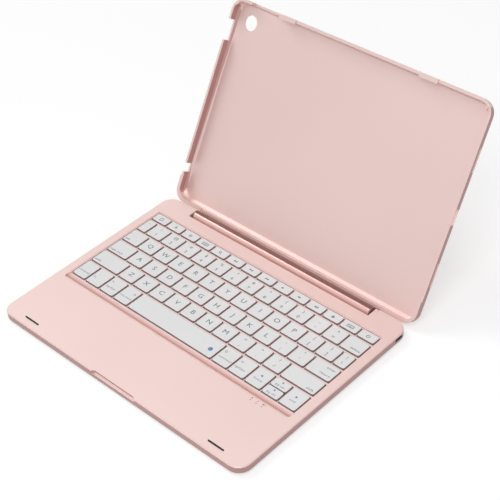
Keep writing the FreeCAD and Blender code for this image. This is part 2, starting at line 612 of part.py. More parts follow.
def make_deck_cover():
    """Top plate and side walls, with the recess's slope, the hinge notch and the fixing bosses."""
    body = new_body("deck_cover")
    outline = new_sketch(body, "deck_outline")
    rounded_rectangle(outline, f"-{SIDE}", "0", SIDE, "deck_depth", "deck_corner")
    block = pad(body, outline, "deck_side", down=True)
    dress(body, "Chamfer", block, lambda edge: level(edge, 0), "deck_edge")
    cavity = new_sketch(body, "deck_cavity", lift="-deck_side")
    rounded_rectangle(cavity, f"-({SIDE} - deck_wall)", "deck_wall", f"{SIDE} - deck_wall",
                      "deck_depth - deck_wall", "deck_corner - deck_wall")
    pocket(body, cavity, "deck_side - deck_skin", up=True)
    surround = new_sketch(body, "notch_surround", lift="-deck_skin")
    rectangle(surround, "-(notch_half + deck_wall)", f"{NOTCH_FRONT} - deck_wall",
              "notch_half + deck_wall", "deck_depth - deck_wall / 2")
    pad(body, surround, "deck_side - deck_skin", down=True)
    notch = new_sketch(body, "hinge_notch")
    rectangle(notch, "-notch_half", NOTCH_FRONT, "notch_half", "deck_depth + 1")
    pocket(body, notch, "deck_side")
    for sign, side in (("-", "left"), ("", "right")):
        relief = new_sketch(body, f"{side}_relief", lift="-deck_skin")
        start = f"{sign}(notch_half + deck_wall)"
        end = f"{sign}({BRACKET_START} + bracket_length)"
        rectangle(relief, *((end, f"{AXIS_Y} - sleeve_radius - clearance", start) if sign else
                            (start, f"{AXIS_Y} - sleeve_radius - clearance", end)),
                  f"{AXIS_Y} + sleeve_radius")
        pocket(body, relief, "deck_skin - (axis_drop - sleeve_radius) + 2 * clearance / 3", up=True)
    shaft = new_sketch(body, "shaft_holes", role="YZ_Plane")
    circle(shaft, AXIS_Y, "-axis_drop", SHAFT_HOLE)
    pocket(body, shaft, "2 * (notch_half + deck_wall + 1)", both=True)
    make_well(body)
    bumpers = new_sketch(body, "bumper_seats")
    for sign in ("-", ""):
        middle = f"({sign}bumper_reach)"
        cut_rectangle(bumpers,
                      f"{middle} - bumper_length / 2", "bumper_inset - bumper_breadth / 2",
                      f"{middle} + bumper_length / 2", "bumper_inset + bumper_breadth / 2",
                      "bumper_breadth / 3")
    pocket(body, bumpers, "bumper_seat")
    scoop = new_sketch(body, "thumb_scoop")
    polygon(scoop, [("-scoop_length / 2", "-1"), ("scoop_length / 2", "-1"),
                    ("scoop_length / 2 - scoop_depth * 2", "scoop_depth"),
                    ("-scoop_length / 2 + scoop_depth * 2", "scoop_depth")])
    pocket(body, scoop, "scoop_drop")
    holes(body, "status_holes", [(across, LIGHT_Y) for across in STATUS_LIGHTS],
          "light_radius + shaft_fit", "0", "deck_skin")
    socket = new_sketch(body, "socket_hole", role="YZ_Plane", lift=f"{SIDE} - socket_depth")
    rounded_rectangle(socket,
                      "socket_middle - socket_width / 2 - clearance / 3",
                      "-socket_drop - socket_height / 2 - clearance / 3",
                      "socket_middle + socket_width / 2 + clearance / 3",
                      "-socket_drop + socket_height / 2 + clearance / 3",
                      "socket_height / 2")
    pocket(body, socket, "socket_depth + 1", up=True)
    posts(body, "case_bosses", CASE_SCREWS, "boss_radius", "-deck_skin", f"{FLOOR} - deck_skin", down=True)
    holes(body, "case_pilots", CASE_SCREWS, PILOT, f"-{FLOOR}", f"{FLOOR} - deck_skin - pilot_floor", up=True)
    posts(body, "bracket_bosses", BRACKET_SCREWS, "boss_radius", "-deck_skin",
          f"{BRACKET_DROP} - bracket_thickness - deck_skin", down=True)
    holes(body, "bracket_pilots", BRACKET_SCREWS, PILOT, f"-({BRACKET_DROP} - bracket_thickness)",
          f"{BRACKET_DROP} - bracket_thickness - deck_skin + pilot_bite", up=True)
    posts(body, "board_bosses", BOARD_SCREWS, "board_boss_radius", "-deck_skin",
          "board_drop - deck_skin", down=True)
    holes(body, "board_pilots", BOARD_SCREWS, PILOT, "-board_drop", "board_drop - deck_skin + pilot_bite",
          up=True)
    on_base(body)


def make_well(body):
    """Sink the key recess: a curved slope along its front, then the opening for the key frame."""
    profile = new_sketch(body, "well_profile", role="YZ_Plane")
    steps = 4
    curve = [(f"well_front + well_ramp * (1 - cos({90 * step / steps}))",
              f"-(deck_skin - ramp_foot) * sin({90 * step / steps})") for step in range(steps + 1)]
    polygon(profile, [*curve, ("well_front + well_ramp", "1"), ("well_front", "1")])
    pocket(body, profile, "well_width - 2 * well_edge", both=True)
    opening = new_sketch(body, "well_opening")
    cut_rectangle(opening, f"-({WELL_SIDE} - well_edge)", "well_front + well_ramp - well_edge",
                  f"{WELL_SIDE} - well_edge", "well_rear - well_edge", "well_corner / 3")
    pocket(body, opening, "deck_skin")


def make_key_frame():
    """Moulded frame with a hole for every key, hung under the deck's plate."""
    body = new_body("frame_blank", kept=False)
    outline = new_sketch(body, "frame_outline", lift="-deck_skin")
    rectangle(outline, f"-{FRAME_SIDE}", FRAME_FRONT, FRAME_SIDE, FRAME_REAR)
    pad(body, outline, "plate_drop - deck_skin", down=True)
    inside = new_sketch(body, "frame_inside", lift="-plate_drop")
    rectangle(inside, f"-({FRAME_SIDE} - frame_rim)", f"{FRAME_FRONT} + frame_rim",
              f"{FRAME_SIDE} - frame_rim", f"{FRAME_REAR} - frame_rim")
    pocket(body, inside, "plate_drop - deck_skin - frame_web", up=True)
    pair = ("arrow_pair", 5, PAIR_LEFT, "arrow_width", 1)
    grow = f"({KEY_SPREAD} + key_play)"
    cutters = []
    for label, row, left, width, count in [*KEY_GROUPS, pair]:
        cutter = new_body(f"{label}_hole", kept=False)
        low = f"({row_rear(row)} - {row_depth(row)})"
        sketch = new_sketch(cutter, f"{label}_hole_outline", lift="-deck_skin / 2")
        rectangle(sketch, f"{left} - {grow}", f"{low} - {grow}", f"{left} + {width} + {grow}",
                  f"{row_rear(row)} + {grow}")
        block = pad(cutter, sketch, "plate_drop", down=True)
        if count > 1:
            repeat(cutter, block, (sketch, ["H_Axis"]), f"{width} + key_gap", count)
        cutters.append(cutter)
    on_base(boolean("Cut", "key_frame", body, cutters))


def make_stack():
    """What lies under the keys: steel support plate, switch membrane and rubber domes."""
    layers = (("key_support_plate", "stack_step / 2", "plate_drop", "plate_thickness"),
              ("switch_membrane", "(frame_rim + stack_step)", "(plate_drop - membrane)", "membrane"))
    for label, inset, drop, thickness in layers:
        body = new_body(label)
        sketch = new_sketch(body, f"{label}_outline", lift=f"-{drop}")
        rectangle(sketch, f"-({FRAME_SIDE} - {inset})", f"{FRAME_FRONT} + {inset}",
                  f"{FRAME_SIDE} - {inset}", f"{FRAME_REAR} - {inset}")
        pad(body, sketch, thickness, down=True)
        on_base(body)
    make_domes()


def make_domes():
    """Rubber sheet with a dome under the middle of every key."""
    sheet_top = "(plate_drop - membrane - dome_sheet)"
    inset = "(frame_rim + 2 * stack_step)"
    body = new_body("dome_base", kept=False)
    sketch = new_sketch(body, "dome_base_outline", lift=f"-{sheet_top}")
    rectangle(sketch, f"-({FRAME_SIDE} - {inset})", f"{FRAME_FRONT} + {inset}",
              f"{FRAME_SIDE} - {inset}", f"{FRAME_REAR} - {inset}")
    pad(body, sketch, "dome_sheet", down=True)
    places = [(label, left, width, f"({row_rear(row)} - {row_depth(row)} / 2)", count)
              for label, row, left, width, count in KEY_GROUPS]
    places.append(("down_arrow_key", PAIR_LEFT, "arrow_width",
                   f"({row_rear(5)} - {row_depth(5)} + {HALF_DEPTH} / 2)", 1))
    places.append(("up_arrow_key", PAIR_LEFT, "arrow_width", f"({row_rear(5)} - {HALF_DEPTH} / 2)", 1))
    rise = f"({sheet_top} - key_sink - key_top)"
    rows = []
    for label, left, width, along, count in places:
        dome = new_body(f"{label}_dome", kept=False)
        crown = new_sketch(dome, f"{label}_dome_crown", lift=f"{rise} - {sheet_top}")
        many_sided(crown, f"({left} + {width} / 2)", along, "dome_crown", 4)
        block = pad(dome, crown, rise, down=True)
        flank = slope(dome, block, f"atan((dome_radius - dome_crown) / {rise})")
        if count > 1:
            repeat(dome, flank, (crown, ["H_Axis"]), f"{width} + key_gap", count)
        rows.append(dome)
    on_base(boolean("Fuse", "rubber_domes", body, rows))


def make_bottom_cover():
    """Shallow pan that closes the base, with screw holes and recesses for the feet."""
    body = new_body("bottom_cover")
    outline = new_sketch(body, "pan_outline", lift="-base_height")
    rounded_rectangle(outline, f"-{SIDE}", "0", SIDE, "deck_depth", "deck_corner")
    block = pad(body, outline, "base_height - deck_side")
    dress(body, "Chamfer", block, lambda edge: level(edge, -value("base_height")), "bottom_edge")
    inside = new_sketch(body, "pan_inside", lift="-deck_side")
    rounded_rectangle(inside, f"-({SIDE} - deck_wall)", "deck_wall", f"{SIDE} - deck_wall",
                      "deck_depth - deck_wall", "deck_corner - deck_wall")
    pocket(body, inside, f"{FLOOR} - deck_side")
    closing = new_sketch(body, "pan_notch_wall", lift=f"-{FLOOR}")
    rectangle(closing, "-(notch_half + deck_wall)", f"{NOTCH_FRONT} - deck_wall",
              "notch_half + deck_wall", "deck_depth - deck_wall / 2")
    pad(body, closing, f"{FLOOR} - deck_side")
    notch = new_sketch(body, "pan_notch", lift="-deck_side")
    rectangle(notch, "-notch_half", NOTCH_FRONT, "notch_half", "deck_depth + 1")
    pocket(body, notch, "base_height - deck_side")
    holes(body, "pan_screw_holes", CASE_SCREWS, "screw_shank + clearance / 2", "-base_height",
          "bottom_plate", up=True)
    holes(body, "pan_head_seats", CASE_SCREWS, "screw_head + clearance / 2", "-base_height",
          "screw_head_height + clearance / 3", up=True, outline=octagon)
    seats = new_sketch(body, "foot_seats", lift="-base_height")
    for left, low, right, high in foot_boxes("foot_play"):
        cut_rectangle(seats, left, low, right, high, "foot_breadth / 4")
    pocket(body, seats, "foot_seat", up=True)
    on_base(body)


def foot_boxes(grow):
    """The four feet's outlines, grown by a clearance."""
    boxes = []
    for sign in ("-", ""):
        for along in ("foot_inset", "(deck_depth - foot_inset)"):
            middle = f"({sign}foot_reach)"
            boxes.append((f"{middle} - foot_length / 2 - {grow}", f"{along} - foot_breadth / 2 - {grow}",
                          f"{middle} + foot_length / 2 + {grow}", f"{along} + foot_breadth / 2 + {grow}"))
    return boxes


def make_feet():
    """Four rubber feet in their recesses."""
    body = new_body("rubber_feet")
    sketch = new_sketch(body, "foot_outlines", lift="foot_seat - base_height")
    for left, low, right, high in foot_boxes("0"):
        cut_rectangle(sketch, left, low, right, high, "foot_breadth / 4")
    block = pad(body, sketch, "foot_height + foot_seat", down=True)
    dress(body, "Chamfer", block, lambda edge: level(edge, -value(TABLE)), "foot_height / 4")
    on_base(body)


def make_screws(label, points, seat, shank_length):
    """Flat-headed screws: the head's inner face lies at the seat, the shank goes on from there."""
    body = new_body(label)
    posts(body, f"{label}_heads", points, "screw_head", seat, "screw_head_height", down=True, outline=octagon)
    posts(body, f"{label}_shanks", points, "screw_shank", seat, shank_length)
    on_base(body)


def make_hinge_bracket(label, sign):
    """Friction sleeve on a foot plate, screwed under the deck's plate beside the notch."""
    body = new_body(label)
    inner = BRACKET_START
    outer = f"({BRACKET_START} + bracket_length)"
    plate = new_sketch(body, f"{label}_plate", lift=f"-{BRACKET_DROP}")
    edges = (f"-{outer}", f"-{inner}") if sign else (inner, outer)
    rectangle(plate, edges[0], f"{AXIS_Y} - bracket_depth", edges[1], AXIS_Y)
    pad(body, plate, "bracket_thickness")
    middle = f"({inner} + sleeve_length / 2)"
    sleeve = new_sketch(body, f"{label}_sleeve", role="YZ_Plane", lift=f"({sign}{middle})")
    circle(sleeve, AXIS_Y, "-axis_drop", "sleeve_radius")
    pad(body, sleeve, "sleeve_length", both=True)
    bore = new_sketch(body, f"{label}_bore", role="YZ_Plane", lift=f"({sign}{middle})")
    circle(bore, AXIS_Y, "-axis_drop", "shaft_radius + shaft_fit")
    pocket(body, bore, "4 * sleeve_length", both=True)
    points = BRACKET_SCREWS[:2] if sign else BRACKET_SCREWS[2:]
    holes(body, f"{label}_holes", points, "screw_shank + clearance / 2", f"-{BRACKET_DROP}",
          "bracket_thickness", up=True)
    on_base(body)


def make_electronics():
    """Battery cells, control board with its light pipes, charging board and socket."""
    body = new_body("battery_cells")
    sketch = new_sketch(body, "cell_outlines", lift=f"-{FLOOR}")
    for number in range(2):
        right = f"(board_left - battery_gap - {number} * (battery_width + battery_gap))"
        cut_rectangle(sketch, f"{right} - battery_width", "battery_front", right,
                      "battery_front + battery_depth", "battery_corner")
    pad(body, sketch, "battery_height")
    on_base(body)
    body = new_body("control_board")
    sketch = new_sketch(body, "board_outline", lift="-board_drop")
    rectangle(sketch, "board_left", "board_front", "board_left + board_width", "board_front + board_depth")
    pad(body, sketch, "board_thickness", down=True)
    chips = new_sketch(body, "board_chips", lift="-board_drop - board_thickness")
    for left, low, right, high in ((0.27, 0.32, 0.43, 0.57), (0.59, 0.29, 0.77, 0.46)):
        rectangle(chips, f"board_left + {left} * board_width", f"board_front + {low} * board_depth",
                  f"board_left + {right} * board_width", f"board_front + {high} * board_depth")
    pad(body, chips, "chip_height", down=True)
    holes(body, "board_holes", BOARD_SCREWS, "screw_shank + clearance / 2", "-board_drop", "board_thickness")
    on_base(body)
    body = new_body("status_light_pipe")
    bar = new_sketch(body, "pipe_bar", lift="-board_drop")
    rectangle(bar, "light_right - 2 * light_pitch - light_rim", f"{LIGHT_Y} - light_rim",
              "light_right + light_rim", f"{LIGHT_Y} + 2 * light_rim / 3")
    pad(body, bar, "board_drop - deck_skin - clearance / 3")
    posts(body, "pipe_pins", [(across, LIGHT_Y) for across in STATUS_LIGHTS], "light_radius", "-board_drop",
          "board_drop")
    on_base(body)
    body = new_body("charging_board")
    sketch = new_sketch(body, "charge_outline", lift="-socket_drop - socket_height / 2")
    wall = f"({SIDE} - deck_wall)"
    rectangle(sketch,
              f"{wall} - clearance - charge_board_width", "socket_middle - charge_board_depth / 2",
              f"{wall} - charge_board_gap", "socket_middle + charge_board_depth / 2")
    pad(body, sketch, "board_thickness", down=True)
    on_base(body)
    body = new_body("charging_socket")
    for name, grow in (("shell", "0"), ("mouth", "socket_shell")):
        sketch = new_sketch(body, f"socket_{name}", role="YZ_Plane", lift=f"{SIDE} - socket_recess")
        cut_rectangle(sketch, f"socket_middle - socket_width / 2 + {grow}",
                      f"-socket_drop - socket_height / 2 + {grow}",
                      f"socket_middle + socket_width / 2 - {grow}",
                      f"-socket_drop + socket_height / 2 - {grow}", f"(socket_height / 2 - {grow}) * 0.6")
        if name == "shell":
            pad(body, sketch, "socket_depth", down=True)
        else:
            pocket(body, sketch, "socket_depth - socket_shell")
    tongue = new_sketch(body, "socket_tongue", role="YZ_Plane",
                        lift=f"{SIDE} - socket_recess - socket_depth + socket_shell")
    rectangle(tongue,
              "socket_middle - socket_width / 3", "-socket_drop - socket_shell",
              "socket_middle + socket_width / 3", "-socket_drop + socket_shell")
    pad(body, tongue, "socket_depth - tongue_setback")
    on_base(body)


def make_bumpers():
    """Two rubber strips in the palm rest that the lid closes on."""
    body = new_body("front_bumpers")
    sketch = new_sketch(body, "bumper_outlines", lift="-bumper_seat")
    for sign in ("-", ""):
        middle = f"({sign}bumper_reach)"
        cut_rectangle(sketch, f"{middle} - bumper_length / 2 + shaft_fit",
                      "bumper_inset - bumper_breadth / 2 + shaft_fit",
                      f"{middle} + bumper_length / 2 - shaft_fit",
                      "bumper_inset + bumper_breadth / 2 - shaft_fit", "bumper_breadth / 3")
    pad(body, sketch, "bumper_seat + bumper_height")
    on_base(body)


# -------------------------------------------------------------------- the lid

TRAY_SIDE = "(tablet_width / 2 + tablet_play + tray_wall)"
POCKET_SIDE = "(tablet_width / 2 + tablet_play)"
POCKET_FOOT = "(glass_start - tablet_play)"
POCKET_HEAD = "(glass_start + tablet_height + tablet_play)"
POCKET_DEPTH = "(tablet_thickness + tablet_play)"
NECK_SCREWS = [f"({share} * leaf_screw_reach)" for share in (-1, -0.4, 0.4, 1)]
SCREW_LEVEL = "(glass_offset + neck_screw_drop)"


def make_tray():
    """Snap-in tray: rounded back, thin walls, snap lips and the openings that the tablet needs."""
    body = new_body("tray_shell")
    outline = new_sketch(body, "tray_outline", lift=f"-{LID_DEPTH}")
    rounded_rectangle(outline, f"-{TRAY_SIDE}", TRAY_FOOT, TRAY_SIDE, TRAY_HEAD, "deck_corner")
    block = pad(body, outline, f"{LID_DEPTH} - glass_offset")
    hollow = new_sketch(body, "tray_pocket", lift="-glass_offset")
    rounded_rectangle(hollow, f"-{POCKET_SIDE}", POCKET_FOOT, POCKET_SIDE, POCKET_HEAD, "tablet_corner")
    scoop = pocket(body, hollow, POCKET_DEPTH)
    floor = -value(f"glass_offset + {POCKET_DEPTH}")
    smooth = dress(body, "Chamfer", scoop, lambda edge: level(edge, floor), "pocket_edge")
    back = -value(LID_DEPTH)
    dress(body, "Fillet", smooth, lambda edge: level(edge, back), "tray_round")
    make_lips(body)
    cuts = new_sketch(body, "side_cutouts", lift="-glass_offset")
    rectangle(cuts, "tablet_width / 2 - 2", "glass_start + port_rise", f"{TRAY_SIDE} + 1",
              "glass_start + port_rise + port_width")
    for along, size in (("jack_rise", "jack_width"),
                        ("(tablet_height - power_inset - power_width / 2)", "power_width")):
        rectangle(cuts, f"-({TRAY_SIDE} + 1)", f"glass_start + {along}", "-(tablet_width / 2 - 2)",
                  f"glass_start + {along} + {size}")
    rectangle(cuts, "volume_inset - volume_width / 2 - tablet_width / 2", "glass_start + tablet_height - 2",
              "volume_inset + volume_width / 2 - tablet_width / 2", f"{TRAY_HEAD} + 1")
    pocket(body, cuts, "port_depth")
    slots = new_sketch(body, "speaker_slots", role="YZ_Plane", lift="tablet_width / 2 - 2")
    for sign in ("-", "+"):
        middle = f"(glass_start + tablet_height / 2 {sign} speaker_reach)"
        deep = "(glass_offset + tablet_thickness / 2)"
        cut_rectangle(slots, f"{middle} - speaker_width / 2", f"-{deep} - speaker_height / 2",
                      f"{middle} + speaker_width / 2", f"-{deep} + speaker_height / 2", "speaker_height / 3")
    pocket(body, slots, "tray_wall + 4", up=True)
    camera = ("camera_inset - tablet_width / 2", "glass_start + tablet_height - camera_inset")
    holes(body, "camera_hole", [camera],
          "camera_radius", f"-{LID_DEPTH}", "2 * tray_back", up=True, outline=circle)
    pilots = new_sketch(body, "neck_pilots", role="XZ_Plane", lift=f"-{TRAY_FOOT}")
    for across in NECK_SCREWS:
        hexagon(pilots, across, f"-{SCREW_LEVEL}", PILOT)
    pocket(body, pilots, "tray_wall - clearance")
    on_lid(body)


def make_lips(body):
    """Snap lips round the lower corners and two tabs on the head wall, over the glass's edge."""
    ring = new_sketch(body, "lip_ring", lift="-glass_offset")
    rounded_rectangle(ring, f"-{TRAY_SIDE}", TRAY_FOOT, TRAY_SIDE, TRAY_HEAD, "deck_corner")
    rounded_rectangle(ring, f"-({POCKET_SIDE} - lip_reach)", f"{POCKET_FOOT} + lip_reach",
                      f"{POCKET_SIDE} - lip_reach", f"{POCKET_HEAD} - lip_reach", "tablet_corner - lip_reach")
    pad(body, ring, "lip_height")
    gaps = new_sketch(body, "lip_gaps", lift="lip_height - glass_offset")
    wide = f"({TRAY_SIDE} + 1)"
    wrap = "(glass_start + corner_wrap)"
    rectangle(gaps, "-notch_half", f"{TRAY_FOOT} - 1", "notch_half", f"{POCKET_FOOT} + 2 * lip_reach")
    stops = [f"-{wide}", "-(tab_reach + tab_length / 2)", "-(tab_reach - tab_length / 2)",
             "tab_reach - tab_length / 2", "tab_reach + tab_length / 2", wide]
    inner = f"({POCKET_HEAD} - 2 * lip_reach)"
    lip_side = f"({POCKET_SIDE} - 2 * lip_reach)"
    polygon(gaps, [
        (stops[0], wrap), (f"-{lip_side}", wrap), (f"-{lip_side}", inner), (stops[1], inner),
        (stops[1], f"{TRAY_HEAD} + 1"), (stops[0], f"{TRAY_HEAD} + 1")])
    rectangle(gaps, stops[2], inner, stops[3], f"{TRAY_HEAD} + 1")
    polygon(gaps, [
        (stops[5], wrap), (stops[5], f"{TRAY_HEAD} + 1"), (stops[4], f"{TRAY_HEAD} + 1"),
        (stops[4], inner), (lip_side, inner), (lip_side, wrap)])
    pocket(body, gaps, "lip_height")


def half_plane(body, name, turn, side):
    """A sketch of half the barrel's section, on one side of the seam."""
    sketch = new_sketch(body, name, role="YZ_Plane", turn=turn)
    reach = "(3 * barrel_radius)"
    if side == "front":
        rectangle(sketch, f"-{reach}", "0", reach, reach)
    else:
        rectangle(sketch, f"-{reach}", f"-{reach}", reach, "0")
    return sketch


def make_barrel():
    """Two halves of the hinge barrel: the neck with its flange, and the cover that closes it."""
    body = new_body("hinge_neck")
    round_section = new_sketch(body, "neck_round", role="YZ_Plane")
    circle(round_section, "0", "0", "barrel_radius")
    pad(body, round_section, f"2 * {BARREL_HALF}", both=True)
    flange = new_sketch(body, "neck_flange", role="YZ_Plane")
    rectangle(flange, f"{TRAY_FOOT} - neck_thickness", "-neck_reach", TRAY_FOOT, "0")
    pad(body, flange, f"2 * {BARREL_HALF}", both=True)
    bore = new_sketch(body, "neck_bore", role="YZ_Plane")
    circle(bore, "0", "0", "barrel_radius - barrel_shell")
    pocket(body, bore, f"2 * ({BARREL_HALF} - barrel_cap)", both=True)
    front = half_plane(body, "neck_front", "barrel_split", "front")
    pocket(body, front, f"2 * ({BARREL_HALF} - barrel_cap)", both=True)
    shaft = new_sketch(body, "neck_shaft_holes", role="YZ_Plane")
    circle(shaft, "0", "0", "shaft_radius + shaft_fit")
    pocket(body, shaft, f"2 * {BARREL_HALF} + 2", both=True)
    for sign in ("-", ""):
        middle = f"({sign}({BARREL_HALF} - barrel_cap - pin_play - tongue_length / 2))"
        saddle = new_sketch(body, f"saddle{sign and '_left'}", role="YZ_Plane", lift=middle,
                            turn="barrel_split")
        rectangle(saddle, "-saddle_half", "-(barrel_radius - barrel_shell / 2)", "saddle_half",
                  "-tongue_thickness / 2")
        pad(body, saddle, "tongue_length - 2 * saddle_inset", both=True)
    screws = new_sketch(body, "neck_screw_holes", role="XZ_Plane", lift=f"-({TRAY_FOOT} - neck_thickness)")
    for across in NECK_SCREWS:
        hexagon(screws, across, f"-{SCREW_LEVEL}", "screw_shank + clearance / 2")
    pocket(body, screws, "neck_thickness")
    on_lid(body)
    body = new_body("barrel_cover")
    outside = new_sketch(body, "cover_outside", role="YZ_Plane")
    circle(outside, "0", "0", "barrel_radius")
    circle(outside, "0", "0", "barrel_radius - barrel_shell")
    pad(body, outside, f"2 * ({BARREL_HALF} - barrel_cap - shaft_fit)", both=True)
    rear = half_plane(body, "cover_rear", "barrel_split", "rear")
    pocket(body, rear, f"2 * {BARREL_HALF}", both=True)
    on_lid(body)


def make_hinge_pin(label, sign):
    """Friction hinge pin with a flat end that sits in the neck's saddle, under the barrel's cover."""
    body = new_body(label)
    inner_end = f"({BARREL_HALF} - barrel_cap - pin_play)"
    middle = f"({sign}({inner_end} + {BARREL_HALF} + shaft_reach) / 2)"
    pin = new_sketch(body, f"{label}_pin", role="YZ_Plane", lift=middle)
    circle(pin, "0", "0", "shaft_radius")
    pad(body, pin, f"{BARREL_HALF} + shaft_reach - {inner_end}", both=True)
    tongue = new_sketch(body, f"{label}_flat", role="YZ_Plane", turn="barrel_split",
                        lift=f"({sign}({inner_end} - tongue_length / 2))")
    rectangle(tongue, "-tongue_half", "-tongue_thickness / 2", "tongue_half", "tongue_thickness / 2")
    pad(body, tongue, "tongue_length", both=True)
    on_lid(body)


def make_neck_screws():
    """Screws that hold the tray on the neck's flange."""
    body = new_body("neck_screws")
    seat = f"-({TRAY_FOOT} - neck_thickness)"
    heads = new_sketch(body, "neck_screw_heads", role="XZ_Plane", lift=seat)
    shanks = new_sketch(body, "neck_screw_shanks", role="XZ_Plane", lift=seat)
    for across in NECK_SCREWS:
        octagon(heads, across, f"-{SCREW_LEVEL}", "neck_screw_head")
        hexagon(shanks, across, f"-{SCREW_LEVEL}", "screw_shank")
    pad(body, heads, "screw_head_height")
    pad(body, shanks, "neck_thickness + tray_wall - 2 * clearance", down=True)
    on_lid(body)


make_deck_cover()
make_key_frame()
make_stack()
make_bottom_cover()
make_feet()
make_screws("case_screws", CASE_SCREWS, "screw_head_height + clearance / 3 - base_height",
            f"{FLOOR} - deck_skin - case_screw_gap")
make_screws("bracket_screws", BRACKET_SCREWS, f"-{BRACKET_DROP}", "bracket_thickness + screw_bite")
make_screws("board_screws", BOARD_SCREWS, "-board_drop - board_thickness", "board_thickness + screw_bite")
for bracket, pin, sign in (("left_hinge_bracket", "left_hinge_pin", "-"),
                           ("right_hinge_bracket", "right_hinge_pin", "")):
    make_hinge_bracket(bracket, sign)
    make_hinge_pin(pin, sign)
make_electronics()
make_bumpers()
make_tray()
make_barrel()
make_neck_screws()


# --------------------------------------------------------------------- output

def check():
    """Stop unless every object is sound and every sub-part has a valid shape."""
    doc.recompute()
    for item in doc.Objects:
        if "Invalid" in item.State or "Error" in item.State:
            raise ValueError(f"{item.Name} failed: {item.State}")
    for body in SUB_PARTS:
        if body.Shape.isNull() or not body.Shape.isValid():
            raise ValueError(f"{body.Label} has no valid shape")


check()
os.makedirs("parts", exist_ok=True)
for body in SUB_PARTS:
    body.Shape.exportStep(f"parts/{body.Label}.step")
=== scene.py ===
"""Tablet keyboard case: the finishes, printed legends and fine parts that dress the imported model."""

import logging
import math
from dataclasses import dataclass, field
from enum import Enum

import bmesh
import bpy
from mathutils import Matrix, Vector


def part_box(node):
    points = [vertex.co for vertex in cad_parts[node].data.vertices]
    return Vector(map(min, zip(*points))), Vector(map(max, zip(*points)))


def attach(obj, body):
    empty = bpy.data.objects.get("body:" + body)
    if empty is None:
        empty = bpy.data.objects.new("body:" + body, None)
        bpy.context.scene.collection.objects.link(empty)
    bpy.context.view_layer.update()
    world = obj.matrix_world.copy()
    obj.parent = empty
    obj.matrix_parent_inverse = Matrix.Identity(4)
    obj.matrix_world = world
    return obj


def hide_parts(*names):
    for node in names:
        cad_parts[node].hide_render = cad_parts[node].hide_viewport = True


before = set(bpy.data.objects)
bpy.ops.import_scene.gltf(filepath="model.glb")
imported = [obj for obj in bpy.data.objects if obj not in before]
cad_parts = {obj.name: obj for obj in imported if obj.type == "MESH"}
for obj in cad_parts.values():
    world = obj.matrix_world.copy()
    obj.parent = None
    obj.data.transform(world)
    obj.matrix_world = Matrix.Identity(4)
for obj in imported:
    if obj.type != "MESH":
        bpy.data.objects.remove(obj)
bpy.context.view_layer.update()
LOG = logging.getLogger("keyboard_case")
MM = 0.001
# Fine relief is drawn this deep in every finish.
RELIEF = 0.02 * MM
WHITE = (1.0, 1.0, 1.0, 1.0)

Point = tuple[float, float]
Colour = tuple[float, float, float, float]
Socket = bpy.types.NodeSocket


# ------------------------------------------------------------------ shared helpers
def linear(colour: str) -> Colour:
    """Turn an sRGB hex colour into the linear one that shaders use.

    Args:
        colour: Six hex digits after a hash.

    Returns:
        Linear red, green and blue, and an alpha of 1.
    """
    parts = [int(colour[start:start + 2], 16) / 255 for start in (1, 3, 5)]
    channels = [part / 12.92 if part <= 0.04045 else ((part + 0.055) / 1.055) ** 2.4 for part in parts]
    return (channels[0], channels[1], channels[2], 1.0)


def feed(tree: bpy.types.NodeTree, target: bpy.types.Node, inputs: dict) -> None:
    """Set or link the sockets of a node.

    Args:
        tree: The node's tree.
        target: The node.
        inputs: Contents by socket name or number; a socket is linked, anything else is set.
    """
    for key, content in inputs.items():
        if isinstance(content, Socket):
            tree.links.new(content, target.inputs[key])
        else:
            target.inputs[key].default_value = content


def node(tree: bpy.types.NodeTree, kind: str, settings: dict | None = None,
         inputs: dict | None = None) -> bpy.types.Node:
    """Add a node with its settings, values and links.

    Args:
        tree: Tree that gets the node.
        kind: The node's type name.
        settings: Properties of the node, by name.
        inputs: Contents of its sockets, as feed takes them.

    Returns:
        The new node.
    """
    made = tree.nodes.new(kind)
    for name, setting in (settings or {}).items():
        setattr(made, name, setting)
    feed(tree, made, inputs or {})
    return made


def link_object(name: str, mesh: bpy.types.Mesh) -> bpy.types.Object:
    """Put a mesh into the scene as an object at the origin.

    Args:
        name: Name of the object.
        mesh: Its mesh, already in the row frame.

    Returns:
        The object.
    """
    made = bpy.data.objects.new(name, mesh)
    bpy.context.scene.collection.objects.link(made)
    return made


def baked(carrier: bpy.types.Object, name: str) -> bpy.types.Object:
    """Turn an object's live modifiers into a plain mesh object and remove the carrier.

    Args:
        carrier: Object with a modifier.
        name: Name of the plain object.

    Returns:
        The plain object.
    """
    graph = bpy.context.evaluated_depsgraph_get()
    mesh = bpy.data.meshes.new_from_object(carrier.evaluated_get(graph))
    mesh.name = name
    bpy.data.objects.remove(carrier)
    return link_object(name, mesh)


def dress(part: bpy.types.Object, material: bpy.types.Material) -> None:
    """Give every material slot of a part one material.

    Args:
        part: A CAD node's object or a new piece.
        material: The material.
    """
    if not part.material_slots:
        part.data.materials.append(material)
    for place in part.material_slots:
        place.material = material


# ------------------------------------------------------------------ finishes
def blank(name: str) -> tuple[bpy.types.Material, bpy.types.NodeTree, Socket]:
    """Start a material.

    Args:
        name: Its name.

    Returns:
        The material, its tree and the object coordinates in it.
    """
    made = bpy.data.materials.new(name)
    made.use_nodes = True
    return made, made.node_tree, node(made.node_tree, "ShaderNodeTexCoord").outputs["Object"]


